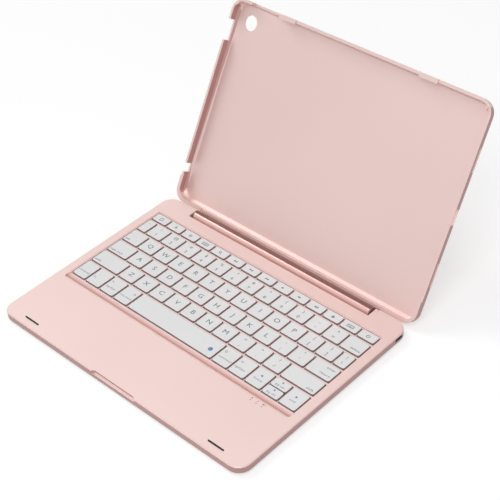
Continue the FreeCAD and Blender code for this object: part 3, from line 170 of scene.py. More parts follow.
def drifting(tree: bpy.types.NodeTree, drift: Socket, colour: str, darker: tuple[float, float, float],
             lighter: float) -> Socket:
    """Let a colour drift between two close shades.

    Args:
        tree: The material's tree.
        drift: Socket that the shade follows.
        colour: The colour between the shades.
        darker: Factors of red, green and blue in the darker shade.
        lighter: Factor of the lighter shade.

    Returns:
        The drifting colour.
    """
    tone = node(tree, "ShaderNodeValToRGB", {}, {"Fac": drift})
    dark, light = tone.color_ramp.elements
    *channels, alpha = linear(colour)
    dark.color = (*(channel * factor for channel, factor in zip(channels, darker)), alpha)
    light.color = (*(min(channel * lighter, 1) for channel in channels), alpha)
    return tone.outputs["Color"]


def surface(tree: bpy.types.NodeTree, colour: Socket | Colour, uneven: Socket, roughness: Point,
            relief: Socket, strength: float, constants: dict[str, float]) -> None:
    """Join a finish's colour, uneven gloss and fine relief to its surface shader.

    Args:
        tree: The material's tree.
        colour: Base colour.
        uneven: Socket that the roughness follows.
        roughness: Least and greatest roughness.
        relief: Height of the relief.
        strength: Strength of the relief.
        constants: Other values of the shader, by socket.
    """
    gloss = node(tree, "ShaderNodeMapRange", {}, {
        "Value": uneven, "To Min": roughness[0], "To Max": roughness[1]})
    bump = node(tree, "ShaderNodeBump", {}, {"Height": relief, "Strength": strength, "Distance": RELIEF})
    feed(tree, tree.nodes["Principled BSDF"], {
        "Base Color": colour, "Roughness": gloss.outputs["Result"], "Normal": bump.outputs["Normal"],
        **constants})


@dataclass(frozen=True)
class AnodisedAluminium:
    """Bead-blasted and anodised aluminium: soft reflections and a fine even grain.

    Attributes:
        name: Name of the material.
        colour: Dye colour.
        roughness: Roughness of the blasted face.
        grain_mm: Size of the blast marks, drawn coarser than real so that they show.
        clouds: How many clouds there are to a metre, in which the dye varies.
        metal: How much of the look is the bare metal's, as the dyed oxide hides part of it.
        stray: How far the roughness falls and rises from its middle.
        relief: Strength of the blast marks.
    """

    name: str
    colour: str
    roughness: float = 0.42
    grain_mm: float = 0.5
    clouds: float = 9.0
    metal: float = 0.35
    stray: Point = (0.05, 0.06)
    relief: float = 0.05

    def material(self) -> bpy.types.Material:
        """Build the material.

        Returns:
            The material.
        """
        made, tree, place = blank(self.name)
        grain = node(tree, "ShaderNodeTexNoise", {}, {
            "Vector": place, "Scale": 1 / (self.grain_mm * MM), "Detail": 2.0}).outputs["Fac"]
        drift = node(tree, "ShaderNodeTexNoise", {}, {
            "Vector": place, "Scale": self.clouds, "Detail": 1.0}).outputs["Fac"]
        dye = drifting(tree, drift, self.colour, (0.96, 0.955, 0.955), 1.03)
        gloss = (self.roughness - self.stray[0], self.roughness + self.stray[1])
        surface(tree, dye, grain, gloss, grain, self.relief, {"Metallic": self.metal})
        return made


@dataclass(frozen=True)
class PaintedShadeSlope:
    """Ground and anodised slope of the key recess: the dye is deepest along its outer edge.

    Attributes:
        name: Name of the material.
        outer: Where the slope starts, along Y, in metres.
        breadth: Breadth of the slope, in metres.
        stops: Share of the breadth and colour; the dark stops at the outer edge are painted shade.
        roughness: Roughness of the ground face.
        line_mm: Spacing of the grinding lines, which run across the slope.
        metal: How much of the look is the bare metal's.
        stray: How far the roughness falls and rises from its middle.
        relief: Strength of the grinding lines.
    """

    name: str
    outer: float
    breadth: float
    # Painted shade: dark at the slope's outer edge, light towards the keys.
    stops: tuple[tuple[float, str], ...] = (
        (0.0, "#6E423C"), (0.14, "#7E4F48"), (0.26, "#A3716A"), (0.5, "#CF9E96"), (0.8, "#E8BDB5"),
        (1.0, "#F0CDC6"))
    roughness: float = 0.4
    line_mm: float = 0.8
    metal: float = 0.35
    stray: Point = (0.06, 0.06)
    relief: float = 0.1

    def material(self) -> bpy.types.Material:
        """Build the material.

        Returns:
            The material.
        """
        made, tree, place = blank(self.name)
        along = node(tree, "ShaderNodeSeparateXYZ", {}, {0: place}).outputs["Y"]
        share = node(tree, "ShaderNodeMapRange", {}, {
            "Value": along, "From Min": self.outer, "From Max": self.outer + self.breadth})
        tone = node(tree, "ShaderNodeValToRGB", {}, {"Fac": share.outputs[0]})
        ramp = tone.color_ramp
        ramp.elements[0].color = linear(self.stops[0][1])
        ramp.elements[1].color = linear(self.stops[-1][1])
        for where, colour in self.stops[1:-1]:
            ramp.elements.new(where).color = linear(colour)
        drawn = node(tree, "ShaderNodeMapping", {}, {"Vector": place, "Scale": (1.0, 0.05, 0.05)})
        lines = node(tree, "ShaderNodeTexNoise", {}, {
            "Vector": drawn.outputs[0], "Scale": 1 / (self.line_mm * MM)}).outputs["Fac"]
        gloss = (self.roughness - self.stray[0], self.roughness + self.stray[1])
        surface(tree, tone.outputs["Color"], lines, gloss, lines, self.relief, {"Metallic": self.metal})
        return made


@dataclass(frozen=True)
class MouldedPlastic:
    """Injection-moulded plastic from a spark-eroded tool: a fine matte stipple.

    Attributes:
        name: Name of the material.
        colour: Body colour.
        roughness: Roughness between the stipples.
        stipple_mm: Spacing of the stipples.
        stipple: Strength of the stipple's bump.
        clouds: How many clouds there are to a metre, in which colour and gloss vary.
        stray: How far the roughness falls and rises from its middle.
    """

    name: str
    colour: str
    roughness: float = 0.5
    stipple_mm: float = 0.35
    stipple: float = 0.08
    clouds: float = 22.0
    stray: Point = (0.04, 0.04)

    def material(self) -> bpy.types.Material:
        """Build the material.

        Returns:
            The material.
        """
        made, tree, place = blank(self.name)
        pits = node(tree, "ShaderNodeTexVoronoi", {}, {
            "Vector": place, "Scale": 1 / (self.stipple_mm * MM)}).outputs["Distance"]
        drift = node(tree, "ShaderNodeTexNoise", {}, {
            "Vector": place, "Scale": self.clouds, "Detail": 2.0}).outputs["Fac"]
        body = drifting(tree, drift, self.colour, (0.97, 0.97, 0.97), 1.02)
        gloss = (self.roughness - self.stray[0], self.roughness + self.stray[1])
        surface(tree, body, drift, gloss, pits, self.stipple, {"IOR": 1.5})
        return made


@dataclass(frozen=True)
class BrushedSteel:
    """Rolled stainless steel with brush lines along one direction.

    Attributes:
        name: Name of the material.
        colour: Metal colour.
        roughness: Roughness across the lines.
        line_mm: Spacing of the brush lines.
        stray: How far the roughness falls and rises from its middle.
        relief: Strength of the brush lines.
    """

    name: str
    colour: str
    roughness: float = 0.32
    line_mm: float = 0.25
    stray: Point = (0.08, 0.1)
    relief: float = 0.1

    def material(self) -> bpy.types.Material:
        """Build the material.

        Returns:
            The material.
        """
        made, tree, place = blank(self.name)
        drawn = node(tree, "ShaderNodeMapping", {}, {"Vector": place, "Scale": (0.04, 1.0, 1.0)})
        lines = node(tree, "ShaderNodeTexNoise", {}, {
            "Vector": drawn.outputs[0], "Scale": 1 / (self.line_mm * MM), "Detail": 3.0}).outputs["Fac"]
        gloss = (self.roughness - self.stray[0], self.roughness + self.stray[1])
        surface(tree, linear(self.colour), lines, gloss, lines, self.relief, {"Metallic": 1.0})
        return made


class Palette:
    """Every finish of the case, built once."""

    def __init__(self) -> None:
        """Build the materials."""
        # Blasted and dyed aluminium: a soft satin sheen in pale rose, with a fine grain.
        self.shell = AnodisedAluminium("anodised_rose_aluminium", "#F2D6D1").material()
        # Painted shade: the outer side walls get a deeper mauve than the top, so that they read as a dark
        # line round the deck.
        self.side = AnodisedAluminium("painted_shade_rose_sides", "#C79C98", 0.36).material()
        # Turned barrel: finer and shinier, with a long highlight along the hinge.
        self.barrel = AnodisedAluminium("anodised_rose_barrel", "#EDC3BC", 0.3).material()
        # Painted shade: the hinge neck is dark brown, which gives the gap behind the barrel its depth.
        self.neck = AnodisedAluminium("painted_shade_brown_neck", "#875B55", 0.38).material()
        # Moulded bottom: matte, a little duller than the metal above it.
        self.bottom = MouldedPlastic("matte_rose_abs", "#C9A09B", 0.5).material()
        # Web between the keys: paler than the metal, without its sheen.
        self.web = MouldedPlastic("pale_rose_polycarbonate", "#F4DCD8", 0.45).material()
        # Painted key tops: nearly white, with a weak, broad gloss.
        self.key_top = MouldedPlastic("painted_keycap_abs", "#EBECED", 0.42, 0.3, 0.05).material()
        # Painted shade on the keys' flanks: darker than the top, a dark edge that parts each key from the
        # web.
        self.key_side = MouldedPlastic("painted_shade_keycap_side", "#9C8582", 0.5).material()
        # Printed letters: dull slate grey.
        self.ink = MouldedPlastic("grey_pad_print_ink", "#5C6668", 0.6, 0.2, 0.02).material()
        # Second colour of the print: a soft blue for the shifted functions.
        self.blue_ink = MouldedPlastic("blue_pad_print_ink", "#6C8FB8", 0.6, 0.2, 0.02).material()
        # Sheet and turned steel inside: cold grey with drawn lines.
        self.steel = BrushedSteel("brushed_stainless_steel", "#A9A9AB").material()
        # Nickelled screws: smoother and a little warmer than the sheet.
        self.screw = BrushedSteel("nickel_plated_screw_steel", "#8F8A88", 0.3, 0.15).material()
        # Bumper strips: deep black with no gloss.
        self.black_rubber = MouldedPlastic("black_silicone_rubber", "#0D0B0C", 0.75, 0.25, 0.2).material()
        # Feet: soft dark grey that takes no highlight.
        self.foot_rubber = MouldedPlastic("grey_silicone_rubber", "#6B6060", 0.7, 0.25, 0.2).material()
        # Domes under the keys: milky and soft.
        self.dome = MouldedPlastic("milky_silicone_dome", "#DCDDDC", 0.45).material()
        # Switch film: smooth, cool and slightly shiny.
        self.film = MouldedPlastic("printed_polyester_film", "#C9CDD2", 0.3).material()
        # Foil pouch of the cells: pale grey with a tight gloss.
        self.pouch = MouldedPlastic("aluminised_cell_pouch", "#AEB2B8", 0.35).material()
        # Circuit boards: glossy green lacquer.
        self.mask = MouldedPlastic("green_solder_mask", "#1F5B3B", 0.35).material()
        # Light pipe: smoked, so that unlit pins show as small dark dots.
        self.pipe = MouldedPlastic("smoked_light_pipe_acrylic", "#8C7674", 0.2).material()
        # Painted shade: a thin dark matte strip along the recess's right side, where the shade next to its
        # wall falls.
        self.shade_line = MouldedPlastic("painted_shade_rose_line", "#9A6E68", 0.6, 0.25, 0.2).material()


# ------------------------------------------------------------------ keycaps
class Sign(Enum):
    """Plain signs that are printed on keys and on the deck."""

    SQUARE = "square"
    DIM = "dim"
    BRIGHT = "bright"
    SCREEN = "screen"
    SEARCH = "search"
    PREVIOUS = "previous"
    PLAY = "play"
    NEXT = "next"
    MUTE = "mute"
    QUIET = "quiet"
    LOUD = "loud"
    LOCK = "lock"
    KEYBOARD = "keyboard"
    POWER = "power"
    LEFT = "left"
    RIGHT = "right"
    UP = "up"
    DOWN = "down"
    DOT = "dot"
    STEP = "step"
    DIAMOND = "diamond"
    CELL = "cell"


@dataclass(frozen=True)
class Legend:
    """Printing on one key, measured from the key's middle.

    Attributes:
        text: Word or character.
        height: Height of a capital, in millimetres.
        across: Shift to the right, in millimetres.
        along: Shift to the rear, in millimetres.
        side: Which side of the text the shift is measured to.
        blue: Whether it is printed in the second colour.
        sign: A sign in place of the text.
    """

    text: str
    height: float = 4.2
    across: float = 0.0
    along: float = 0.0
    side: str = "CENTER"
    blue: bool = False
    sign: Sign | None = None


class PieceTree:
    """Geometry Nodes tree with named inputs, whose result is a plain mesh object.

    Attributes:
        tree: The tree.
        sockets: Identifiers of its inputs, by name.
        given: What its inputs give inside the tree, by name.
    """

    def __init__(self, name: str, sizes: dict[str, float], others: dict[str, str]) -> None:
        """Make the empty tree with its inputs and output.

        Args:
            name: Name of the tree.
            sizes: Usual sizes in millimetres, by input name.
            others: Socket types of the other inputs, by name.
        """
        self.tree = bpy.data.node_groups.new(name, "GeometryNodeTree")
        self.sockets = {}
        face = self.tree.interface
        for label, kind in others.items():
            self.sockets[label] = face.new_socket(label, in_out="INPUT", socket_type=kind).identifier
        for label, size in sizes.items():
            socket = face.new_socket(label, in_out="INPUT", socket_type="NodeSocketFloat")
            socket.default_value = size * MM
            self.sockets[label] = socket.identifier
        face.new_socket("Piece", in_out="OUTPUT", socket_type="NodeSocketGeometry")
        self.given = node(self.tree, "NodeGroupInput").outputs

    def piece(self, name: str, places: list[Vector], contents: dict) -> bpy.types.Object:
        """Run the tree once.

        Args:
            name: Name of the piece.
            places: Points that the tree works on.
            contents: What its inputs get, by name; sizes in metres.

        Returns:
            The piece as a plain mesh object.
        """
        mesh = bpy.data.meshes.new(name + "_places")
        mesh.from_pydata(places, [], [])
        carrier = link_object(name + "_carrier", mesh)
        modifier = carrier.modifiers.new("tree", "NODES")
        modifier.node_group = self.tree
        for label, content in contents.items():
            modifier[self.sockets[label]] = content
        return baked(carrier, name)


class KeycapTree(PieceTree):
    """Tree that builds a row of equal keycaps with rounded tops and hollow undersides."""

    SIZES = {"Width": 15.0, "Depth": 14.0, "Height": 2.0, "Corner": 1.2, "Lean": 0.28, "Edge": 0.35,
             "Shell": 0.9, "Roof": 0.8, "Pitch": 17.3, "Left": 0.0, "Middle": 0.0, "Foot": 0.0}

    # Angles of the rounding between the leaning sides and the top.
    ROUNDING = (0, 30, 60, 90)
    # A face whose normal rises less than this belongs to the sides.
    STEEP = 0.3

    def __init__(self) -> None:
        """Make the tree."""
        super().__init__("keycap_row", self.SIZES, {
            "Count": "NodeSocketInt", "Top finish": "NodeSocketMaterial",
            "Side finish": "NodeSocketMaterial"})
        self.build()

    def outward(self) -> Socket:
        """Work out the level direction away from the key's rounded outline.

        Returns:
            A socket with that direction at each point.
        """
        tree = self.tree
        given = self.given
        spans = node(tree, "ShaderNodeCombineXYZ", {}, {"X": given["Width"], "Y": given["Depth"]})
        corner = node(tree, "ShaderNodeCombineXYZ", {}, {"X": given["Corner"], "Y": given["Corner"]})
        place = node(tree, "GeometryNodeInputPosition").outputs[0]
        steps = {
            "halves": ("MULTIPLY", spans.outputs[0], (0.5, 0.5, 0.0)),
            "inner": ("SUBTRACT", "halves", corner.outputs[0]),
            "back": ("MULTIPLY", "inner", (-1.0, -1.0, 0.0)),
            "flat": ("MULTIPLY", place, (1.0, 1.0, 0.0)),
            "least": ("MINIMUM", "flat", "inner"),
            "near": ("MAXIMUM", "least", "back"),
            "away": ("SUBTRACT", "flat", "near")}
        found = {}
        for name, (operation, *terms) in steps.items():
            first, second = (found[term] if isinstance(term, str) else term for term in terms)
            found[name] = node(tree, "ShaderNodeVectorMath", {"operation": operation}, {
                0: first, 1: second}).outputs[0]
        return node(tree, "ShaderNodeVectorMath", {"operation": "NORMALIZE"}, {0: found["away"]}).outputs[0]

    def ring(self, mesh: Socket, faces: Socket | None, rise: Socket | float,
             inset: Socket | float) -> tuple[Socket, Socket]:
        """Extrude the chosen faces upward and draw their outline in.

        Args:
            mesh: Geometry so far.
            faces: Faces to extrude, or all of them.
            rise: How far they move up.
            inset: How far their outline moves in.

        Returns:
            The geometry and its new end faces.
        """
        tree = self.tree
        inputs = {"Mesh": mesh, "Offset": (0.0, 0.0, 1.0), "Offset Scale": rise, "Individual": False}
        if faces is not None:
            inputs["Selection"] = faces
        raised = node(tree, "GeometryNodeExtrudeMesh", {"mode": "FACES"}, inputs)
        back = node(tree, "ShaderNodeMath", {"operation": "MULTIPLY"}, {0: inset, 1: -1.0})
        shift = node(tree, "ShaderNodeVectorMath", {"operation": "SCALE"}, {
            0: self.outward(), "Scale": back.outputs[0]})
        drawn = node(tree, "GeometryNodeSetPosition", {}, {
            "Geometry": raised.outputs["Mesh"], "Selection": raised.outputs["Top"],
            "Offset": shift.outputs[0]})
        return drawn.outputs[0], raised.outputs["Top"]

    def cap(self) -> Socket:
        """Build one keycap: leaning sides, rounded top edge and hollow underside.

        Returns:
            The keycap's geometry, with its foot at the origin.
        """
        tree = self.tree
        given = self.given
        outline = node(tree, "GeometryNodeCurvePrimitiveQuadrilateral", {}, {
            "Width": given["Width"], "Height": given["Depth"]})
        rounded = node(tree, "GeometryNodeFilletCurve", {"mode": "POLY"}, {
            "Curve": outline.outputs[0], "Count": 5, "Radius": given["Corner"]})
        foot = node(tree, "GeometryNodeFillCurve", {"mode": "NGONS"}, {
            "Curve": rounded.outputs[0]}).outputs[0]
        side = node(tree, "ShaderNodeMath", {"operation": "SUBTRACT"}, {0: given["Height"], 1: given["Edge"]})
        mesh, top = self.ring(foot, None, side.outputs[0], given["Lean"])
        for start, end in zip(self.ROUNDING, self.ROUNDING[1:]):
            rise = math.sin(math.radians(end)) - math.sin(math.radians(start))
            inset = math.cos(math.radians(start)) - math.cos(math.radians(end))
            up = node(tree, "ShaderNodeMath", {"operation": "MULTIPLY"}, {0: given["Edge"], 1: rise})
            inward = node(tree, "ShaderNodeMath", {"operation": "MULTIPLY"}, {0: given["Edge"], 1: inset})
            mesh, top = self.ring(mesh, top, up.outputs[0], inward.outputs[0])
        hollow = node(tree, "ShaderNodeMath", {"operation": "SUBTRACT"}, {
            0: given["Height"], 1: given["Roof"]})
        under, roof = self.ring(foot, None, 0.0, given["Shell"])
        under, roof = self.ring(under, roof, hollow.outputs[0], 0.0)
        flipped = node(tree, "GeometryNodeFlipFaces", {}, {"Mesh": under})
        whole = node(tree, "GeometryNodeJoinGeometry", {}, {"Geometry": mesh})
        tree.links.new(flipped.outputs[0], whole.inputs[0])
        return node(tree, "GeometryNodeMergeByDistance", {}, {
            "Geometry": whole.outputs[0], "Distance": 0.001 * MM}).outputs[0]

    def build(self) -> None:
        """Build the tree: the cap, the row and the two finishes."""
        tree = self.tree
        given = self.given
        start = node(tree, "ShaderNodeCombineXYZ", {}, {
            "X": given["Left"], "Y": given["Middle"], "Z": given["Foot"]}).outputs[0]
        step = node(tree, "ShaderNodeCombineXYZ", {}, {"X": given["Pitch"]}).outputs[0]
        line = node(tree, "GeometryNodeMeshLine", {}, {
            "Count": given["Count"], "Start Location": start, "Offset": step})
        row = node(tree, "GeometryNodeInstanceOnPoints", {}, {
            "Points": line.outputs[0], "Instance": self.cap()})
        real = node(tree, "GeometryNodeRealizeInstances", {}, {0: row.outputs[0]})
        tops = node(tree, "GeometryNodeSetMaterial", {}, {
            "Geometry": real.outputs[0], "Material": given["Top finish"]})
        # The steep flanks get the side colour, which is painted shade.
        normal = node(tree, "GeometryNodeInputNormal").outputs[0]
        facing = node(tree, "ShaderNodeSeparateXYZ", {}, {0: normal}).outputs["Z"]
        steep = node(tree, "FunctionNodeCompare", {"operation": "LESS_THAN"}, {0: facing, 1: self.STEEP})
        sides = node(tree, "GeometryNodeSetMaterial", {}, {
            "Geometry": tops.outputs[0], "Selection": steep.outputs[0], "Material": given["Side finish"]})
        node(tree, "NodeGroupOutput", {}, {"Piece": sides.outputs[0]})


class ScrewTree(PieceTree):
    """Tree that sets a flat-headed screw with a cross recess on each point of a mesh."""

    SIZES = {"Head radius": 1.85, "Head height": 0.6, "Shank radius": 0.85, "Shank length": 3.2, "Cross": 2.2,
             "Blade": 0.42, "Cross depth": 0.4}

    def __init__(self) -> None:
        """Make the tree."""
        super().__init__("cross_screws", self.SIZES, {
            "Places": "NodeSocketGeometry", "Finish": "NodeSocketMaterial"})
        self.build()

    def build(self) -> None:
        """Build the tree: head, cross recess and shank, set on every point with the head downwards."""
        tree = self.tree
        given = self.given
        head = node(tree, "GeometryNodeMeshCylinder", {}, {
            "Vertices": 20, "Radius": given["Head radius"], "Depth": given["Head height"]})
        middle = node(tree, "ShaderNodeMath", {"operation": "MULTIPLY"}, {0: given["Head height"], 1: 0.5})
        lifted = node(tree, "ShaderNodeCombineXYZ", {}, {"Z": middle.outputs[0]})
        cut = node(tree, "GeometryNodeTransform", {}, {
            "Geometry": head.outputs["Mesh"], "Translation": lifted.outputs[0]}).outputs[0]
        double = node(tree, "ShaderNodeMath", {"operation": "MULTIPLY"}, {0: given["Cross depth"], 1: 2.0})
        for first, second in (("Cross", "Blade"), ("Blade", "Cross")):
            span = node(tree, "ShaderNodeCombineXYZ", {}, {
                "X": given[first], "Y": given[second], "Z": double.outputs[0]})
            blade = node(tree, "GeometryNodeMeshCube", {}, {"Size": span.outputs[0]}).outputs["Mesh"]
            cut = node(tree, "GeometryNodeMeshBoolean", {"operation": "DIFFERENCE"}, {
                "Mesh 1": cut, "Mesh 2": blade}).outputs["Mesh"]
        shank = node(tree, "GeometryNodeMeshCylinder", {}, {
            "Vertices": 12, "Radius": given["Shank radius"], "Depth": given["Shank length"]})
        half = node(tree, "ShaderNodeMath", {"operation": "MULTIPLY"}, {0: given["Shank length"], 1: 0.5})
        above = node(tree, "ShaderNodeMath", {"operation": "ADD"}, {
            0: half.outputs[0], 1: given["Head height"]})
        raised = node(tree, "ShaderNodeCombineXYZ", {}, {"Z": above.outputs[0]})
        placed = node(tree, "GeometryNodeTransform", {}, {
            "Geometry": shank.outputs["Mesh"], "Translation": raised.outputs[0]})
        screw = node(tree, "GeometryNodeJoinGeometry", {}, {"Geometry": placed.outputs[0]})
        tree.links.new(cut, screw.inputs[0])
        row = node(tree, "GeometryNodeInstanceOnPoints", {}, {
            "Points": given["Places"], "Instance": screw.outputs[0]})
        real = node(tree, "GeometryNodeRealizeInstances", {}, {0: row.outputs[0]})
        made = node(tree, "GeometryNodeSetMaterial", {}, {
            "Geometry": real.outputs[0], "Material": given["Finish"]})
        node(tree, "NodeGroupOutput", {}, {"Piece": made.outputs[0]})


@dataclass
class Underside:
    """What shows from below: the case screws with their cross recesses.

    Attributes:
        palette: The finishes.
        near: Two corners of a screw are never further apart than this.
        tree: Tree that makes the screws.
    """

    palette: Palette
    near: float = 6.0 * MM
    tree: ScrewTree = field(default_factory=ScrewTree)

    def places(self, name: str) -> list[Vector]:
        """Find the middle of each solid in a node of upright screws.

        Args:
            name: The node.

        Returns:
            The lower middle of each screw.
        """
        groups = []
        for corner in [vertex.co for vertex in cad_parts[name].data.vertices]:
            for group in groups:
                if (group[0].xy - corner.xy).length < self.near:
                    group.append(corner)
                    break
            else:
                groups.append([corner])
        middles = []
        for group in groups:
            low, high = ([choose(corner[axis] for corner in group) for axis in range(3)]
                         for choose in (min, max))
            middles.append(Vector(((low[0] + high[0]) / 2, (low[1] + high[1]) / 2, low[2])))
        return middles

    def build(self) -> int:
        """Build the case screws.

        Returns:
            Number of screws.
        """
        low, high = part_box("case_screws")
        places = self.places("case_screws")
        length = high.z - low.z - ScrewTree.SIZES["Head height"] * MM
        made = self.tree.piece("case_screws_cross", places, {
            "Finish": self.palette.screw, "Shank length": length})
        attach(made, "base")
        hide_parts("case_screws")
        LOG.info("underside: %d screws", len(places))
        return len(places)


class Ink:
    """Flat printed marks on one level, gathered into one mesh for each colour.

    Attributes:
        WIDE: How much wider than drawn the letters are printed.
        CAPITAL: Height of a capital as a share of the type size.
        SPACING: Spacing of the letters.
    """

    WIDE = 1.16
    CAPITAL = 0.70
    SPACING = 1.06

    def __init__(self, level: float) -> None:
        """Start with no marks.

        Args:
            level: Level of the print.
        """
        self.mesh = bmesh.new()
        self.level = level

    def polygon(self, points: list[Point]) -> None:
        """Print one filled outline.

        Args:
            points: Corners, counter-clockwise, in metres.
        """
        self.mesh.faces.new([self.mesh.verts.new((x, y, self.level)) for x, y in points])

    def spoke(self, middle: Point, radius: float, turn: float) -> Point:
        """Find a point at an angle round a centre.

        Args:
            middle: The centre.
            radius: Distance from it.
            turn: Angle in radians.

        Returns:
            The point.
        """
        return (middle[0] + radius * math.cos(turn), middle[1] + radius * math.sin(turn))

    def disc(self, middle: Point, radius: float, steps: int = 20) -> None:
        """Print a filled disc.

        Args:
            middle: Its centre.
            radius: Its radius.
            steps: Number of corners.
        """
        self.polygon([self.spoke(middle, radius, 2 * math.pi * step / steps) for step in range(steps)])

    def ring(self, middle: Point, radius: float, width: float, start: float = 0.0,
             end: float = 360.0) -> None:
        """Print a ring or an arc.

        Args:
            middle: Its centre.
            radius: Radius of its middle line.
            width: Breadth of the line.
            start: First angle in degrees.
            end: Last angle in degrees.
        """
        steps = max(4, round((end - start) / 20))
        turns = [math.radians(start + (end - start) * step / steps) for step in range(steps + 1)]
        inner = radius - width / 2
        outer = radius + width / 2
        for first, second in zip(turns, turns[1:]):
            self.polygon([self.spoke(middle, size, turn) for size, turn in (
                (inner, first), (outer, first), (outer, second), (inner, second))])

    def bar(self, middle: Point, size: Point, turn: float = 0.0) -> None:
        """Print a filled bar.

        Args:
            middle: Its centre.
            size: Length and breadth.
            turn: Turn in degrees.
        """
        cosine = math.cos(math.radians(turn))
        sine = math.sin(math.radians(turn))
        long = size[0] / 2
        wide = size[1] / 2
        self.polygon([(middle[0] + x * cosine - y * sine, middle[1] + x * sine + y * cosine)
                      for x, y in ((-long, -wide), (long, -wide), (long, wide), (-long, wide))])

    def strokes(self, spot: Point, size: float, line: float, rows: list[tuple[float, ...]]) -> None:
        """Print several thin bars round a spot.

        Args:
            spot: The spot.
            size: Size of the sign.
            line: Breadth of a bar.
            rows: Turn in degrees, then shift to the right and rear and length as shares of the size.
        """
        for turn, right, rear, long in rows:
            self.bar((spot[0] + right * size, spot[1] + rear * size), (long * size, line), turn)

    def arrow(self, middle: Point, size: float, turn: float = 0.0) -> None:
        """Print a filled triangle that points along a direction.

        Args:
            middle: Its centre.
            size: Distance from the centre to the tip.
            turn: Direction of the tip in degrees.
        """
        self.polygon([self.spoke(middle, size, math.radians(turn + step)) for step in (0, 125, 235)])

    def text(self, legend: Legend, middle: Point) -> None:
        """Print a word or character.

        Args:
            legend: What is printed, and its size and place.
            middle: The key's middle.
        """
        curve = bpy.data.curves.new("legend", "FONT")
        curve.body = legend.text
        curve.size = legend.height * MM / self.CAPITAL
        curve.align_x = legend.side
        curve.align_y = "CENTER"
        curve.resolution_u = 3
        curve.space_character = self.SPACING
        carrier = bpy.data.objects.new("legend", curve)
        bpy.context.scene.collection.objects.link(carrier)
        graph = bpy.context.evaluated_depsgraph_get()
        mesh = bpy.data.meshes.new_from_object(carrier.evaluated_get(graph))
        mesh.transform(Matrix.Diagonal((self.WIDE, 1.0, 1.0, 1.0)))
        mesh.transform(Matrix.Translation((
            middle[0] + legend.across * MM, middle[1] + legend.along * MM, self.level)))
        self.mesh.from_mesh(mesh)
        bpy.data.objects.remove(carrier)
        bpy.data.meshes.remove(mesh)

    def sign(self, legend: Legend, middle: Point) -> None:
        """Print one of the plain signs.

        Args:
            legend: The sign, its size and place.
            middle: The key's middle.
        """
        size = legend.height * MM
        x = middle[0] + legend.across * MM
        y = middle[1] + legend.along * MM
        spot = (x, y)
        line = 0.13 * size
        sign = legend.sign
        if sign is Sign.SQUARE:
            self.strokes(spot, size, line, [
                (0, 0, 0.4, 0.9), (0, 0, -0.4, 0.9), (90, 0.4, 0, 0.9), (90, -0.4, 0, 0.9)])
        elif sign in (Sign.DIM, Sign.BRIGHT):
            core = 0.16 if sign is Sign.DIM else 0.24
            self.ring(spot, core * size, line)
            for turn in range(0, 360, 45):
                self.bar(self.spoke(spot, (core + 0.2) * size, math.radians(turn)), (0.14 * size, line), turn)
        elif sign in (Sign.KEYBOARD, Sign.SCREEN):
            self.strokes(spot, size, line, [
                (0, 0, 0.35, 1.7), (0, 0, -0.35, 1.7), (90, 0.85, 0, 0.8), (90, -0.85, 0, 0.8)])
            self.strokes(spot, size, 0.1 * size, [
                (0, (step - 2) * 0.3, rise, 0.16) for step in range(5) for rise in (0.14, -0.06)])
            self.strokes(spot, size, 0.08 * size, [(0, 0, -0.22, 0.8)])
        elif sign is Sign.SEARCH:
            self.ring((x - 0.1 * size, y + 0.1 * size), 0.3 * size, line)
            self.strokes(spot, size, 1.3 * line, [(-45, 0.26, -0.28, 0.34)])
        elif sign in (Sign.PREVIOUS, Sign.NEXT):
            for shift in (-0.28, 0.28):
                self.arrow((x + shift * size, y), 0.34 * size, 180 if sign is Sign.PREVIOUS else 0)
        elif sign is Sign.PLAY:
            self.arrow((x - 0.25 * size, y), 0.36 * size)
            self.strokes(spot, size, line, [(90, 0.22, 0, 0.6), (90, 0.42, 0, 0.6)])
        elif sign in (Sign.MUTE, Sign.QUIET, Sign.LOUD):
            self.strokes(spot, size, 0.28 * size, [(0, -0.32, 0, 0.2)])
            self.arrow((x - 0.16 * size, y), 0.36 * size, 180)
            for step in range((Sign.MUTE, Sign.QUIET, Sign.LOUD).index(sign)):
                self.ring(spot, (0.28 + 0.2 * step) * size, line, -45, 45)
        elif sign is Sign.LOCK:
            self.strokes(spot, size, 0.46 * size, [(0, 0, -0.15, 0.62)])
            self.ring((x, y + 0.1 * size), 0.2 * size, line, 0, 180)
        elif sign is Sign.POWER:
            self.ring(spot, 0.38 * size, line, 115, 425)
            self.strokes(spot, size, line, [(90, 0, 0.26, 0.42)])
        elif sign in (Sign.LEFT, Sign.RIGHT, Sign.UP, Sign.DOWN):
            self.arrow(spot, 0.5 * size, (Sign.RIGHT, Sign.UP, Sign.LEFT, Sign.DOWN).index(sign) * 90)
        elif sign is Sign.DOT:
            self.disc(spot, size / 2)
        elif sign is Sign.STEP:
            self.strokes(spot, size, line, [
                (-45, 0, 0, 0.5), (0, -0.32, 0.17, 0.35), (0, 0.32, -0.17, 0.35), (0, 0.3, 0.17, 0.35)])
        elif sign is Sign.DIAMOND:
            self.strokes(spot, size, line, [
                (45, -0.2, 0.2, 0.62), (-45, 0.2, 0.2, 0.62), (45, 0.2, -0.2, 0.62), (-45, -0.2, -0.2, 0.62)])
        elif sign is Sign.CELL:
            self.strokes(spot, size, line, [
                (0, 0, 0.3, 1.3), (0, 0, -0.3, 1.3), (90, 0.65, 0, 0.7), (90, -0.65, 0, 0.7)])
            self.strokes(spot, size, 0.3 * size, [(0, -0.2, 0, 0.5)])

    def finish(self, name: str, material: bpy.types.Material) -> bpy.types.Object | None:
        """Make the gathered marks one object.

        Args:
            name: Name of the piece.
            material: Its ink.

        Returns:
            The object, or None where nothing was printed.
        """
        if not self.mesh.faces:
            self.mesh.free()
            return None
        bmesh.ops.recalc_face_normals(self.mesh, faces=self.mesh.faces)
        for face in self.mesh.faces:
            if face.normal.z < 0:
                face.normal_flip()
        mesh = bpy.data.meshes.new(name)
        self.mesh.to_mesh(mesh)
        self.mesh.free()
        made = link_object(name, mesh)
        dress(made, material)
        return made


